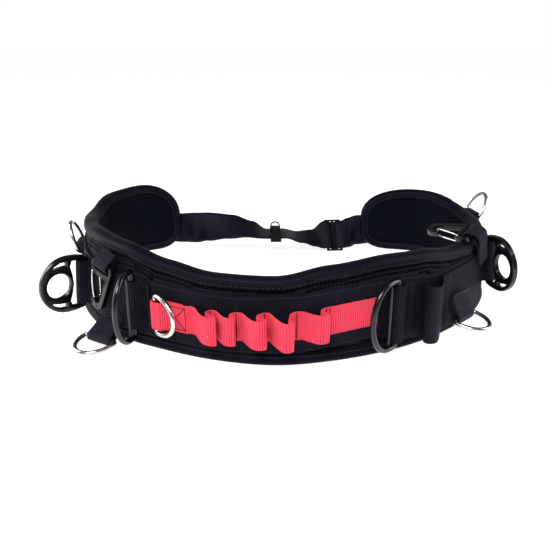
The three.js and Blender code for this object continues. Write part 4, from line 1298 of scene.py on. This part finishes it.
groove = bound + bound_inward * GROOVE["inset"]
groove = np.concatenate([groove, groove[:1]])
groove_out = np.column_stack([belt_frame(groove[:, 0])[1], np.zeros(len(groove))])
binding_rows = [
    (on_belt(groove[:, 0], np.full(len(groove), GROOVE["n"] * face), groove[:, 1]), groove_out * face)
    for face in (1, -1)
]
stitch_rows(
    "binding_stitches", binding_rows, "thread", pitch=PUCKER["pitch"], length=3.0, radius=0.4
)

sewn_from, sewn_to = CARRIER["from"] + FROM_EDGE, CARRIER["to"] - FROM_EDGE
carrier_rows = [
    lifted_row(sewn_from, sewn_to, CARRIER_N + ON, z)
    for z in (CARRIER["low"] + FROM_EDGE, CARRIER["high"] - FROM_EDGE)
]
stitch_rows("carrier_stitches", carrier_rows, "thread")

BOX = {"left": -91, "right": -72.5, "low": 27.0, "high": 47.0}
low_left, low_right, high_right, high_left = (
    (BOX[side], TOP_N + ON, BOX[edge] + float(lift(BOX[side])[0]))
    for side, edge in (("left", "low"), ("right", "low"), ("right", "high"), ("left", "high"))
)
red_rows = [
    belt_row(corners)
    for corners in (
        [low_left, low_right, high_right, high_left, low_left], [low_left, high_right], [high_left, low_right]
    )
]
stitch_rows("red_box_stitches", red_rows, "red thread", pitch=2.0, length=1.9, radius=0.42)
tacks = upright_rows((*LOOP_FEET, 42, 81), OVER_N + ON, RED["low"] + 0.5, RED["high"] - 0.5)
tacks += upright_rows(LOOP_FEET, CARRIER_N + ON, RED["high"] + 0.5, RED["high"] + 5)
stitch_rows("loop_tacks", tacks, "deep thread", pitch=1.6, length=1.6, radius=0.45)

right_edges = (RIGHT_WEB["low"] + FROM_EDGE, RIGHT_WEB["high"] - FROM_EDGE)
left_edges = (LEFT_WEB["low"] + FROM_EDGE, LEFT_WEB["high"] - FROM_EDGE)
side_rows = upright_rows((114, 116.5, 158, 160.5), TOP_N + ON, *right_edges)
side_rows += upright_rows((231, 233.5), OVER_N + ON, *right_edges)
side_rows += upright_rows((-109.3, -134.5, -137, -222, -224), OVER_N + ON, *left_edges)
side_rows += [lifted_row(170, 232, OVER_N + ON, z) for z in right_edges]
stitch_rows("side_webbing_stitches", side_rows, "thread", pitch=2.6, length=2.1)

channel_rows = []
channel_s = np.arange(sewn_from, sewn_to, 3.0)
channel_n = LAYER["pad"] / 2 - CHANNELS["depth"] + 0.45
for k in range(CHANNELS["rows"]):
    for face in ("upper", "lower"):
        z, free = channel_row(channel_s, k, face)
        runs = np.split(np.arange(len(channel_s)), np.flatnonzero(np.diff(free.astype(int))) + 1)
        for run in runs:
            if len(run) > 3 and free[run[0]]:
                n = np.full(len(run), channel_n)
                channel_rows.append(belt_row(np.column_stack([channel_s[run], n, z[run]])))
# The channel stitches take the darker thread, a painted shade in the grooves.
stitch_rows("channel_stitches", channel_rows, "deep thread", pitch=3.4, length=2.5, radius=0.3)

STRAP_SEAM = {"n": STRAP_N + 0.85, "half": 15, "points": 8}
strap_rows = []
for s_from, s_to in ((403, 424), (724, 745)):
    for up in (-STRAP_SEAM["half"], STRAP_SEAM["half"]):
        s = np.linspace(s_from, s_to, STRAP_SEAM["points"])
        n = np.full(len(s), STRAP_SEAM["n"])
        strap_rows.append(belt_row(np.column_stack([s, n, smooth_read(STRAP, "z", s) + up])))
    for s in (s_from, s_to):
        z = float(smooth_read(STRAP, "z", s)[0])
        strap_rows.append(belt_row([(s, STRAP_SEAM["n"], z + up * STRAP_SEAM["half"]) for up in (-1, 1)]))
stitch_rows("strap_stitches", strap_rows, "thread")
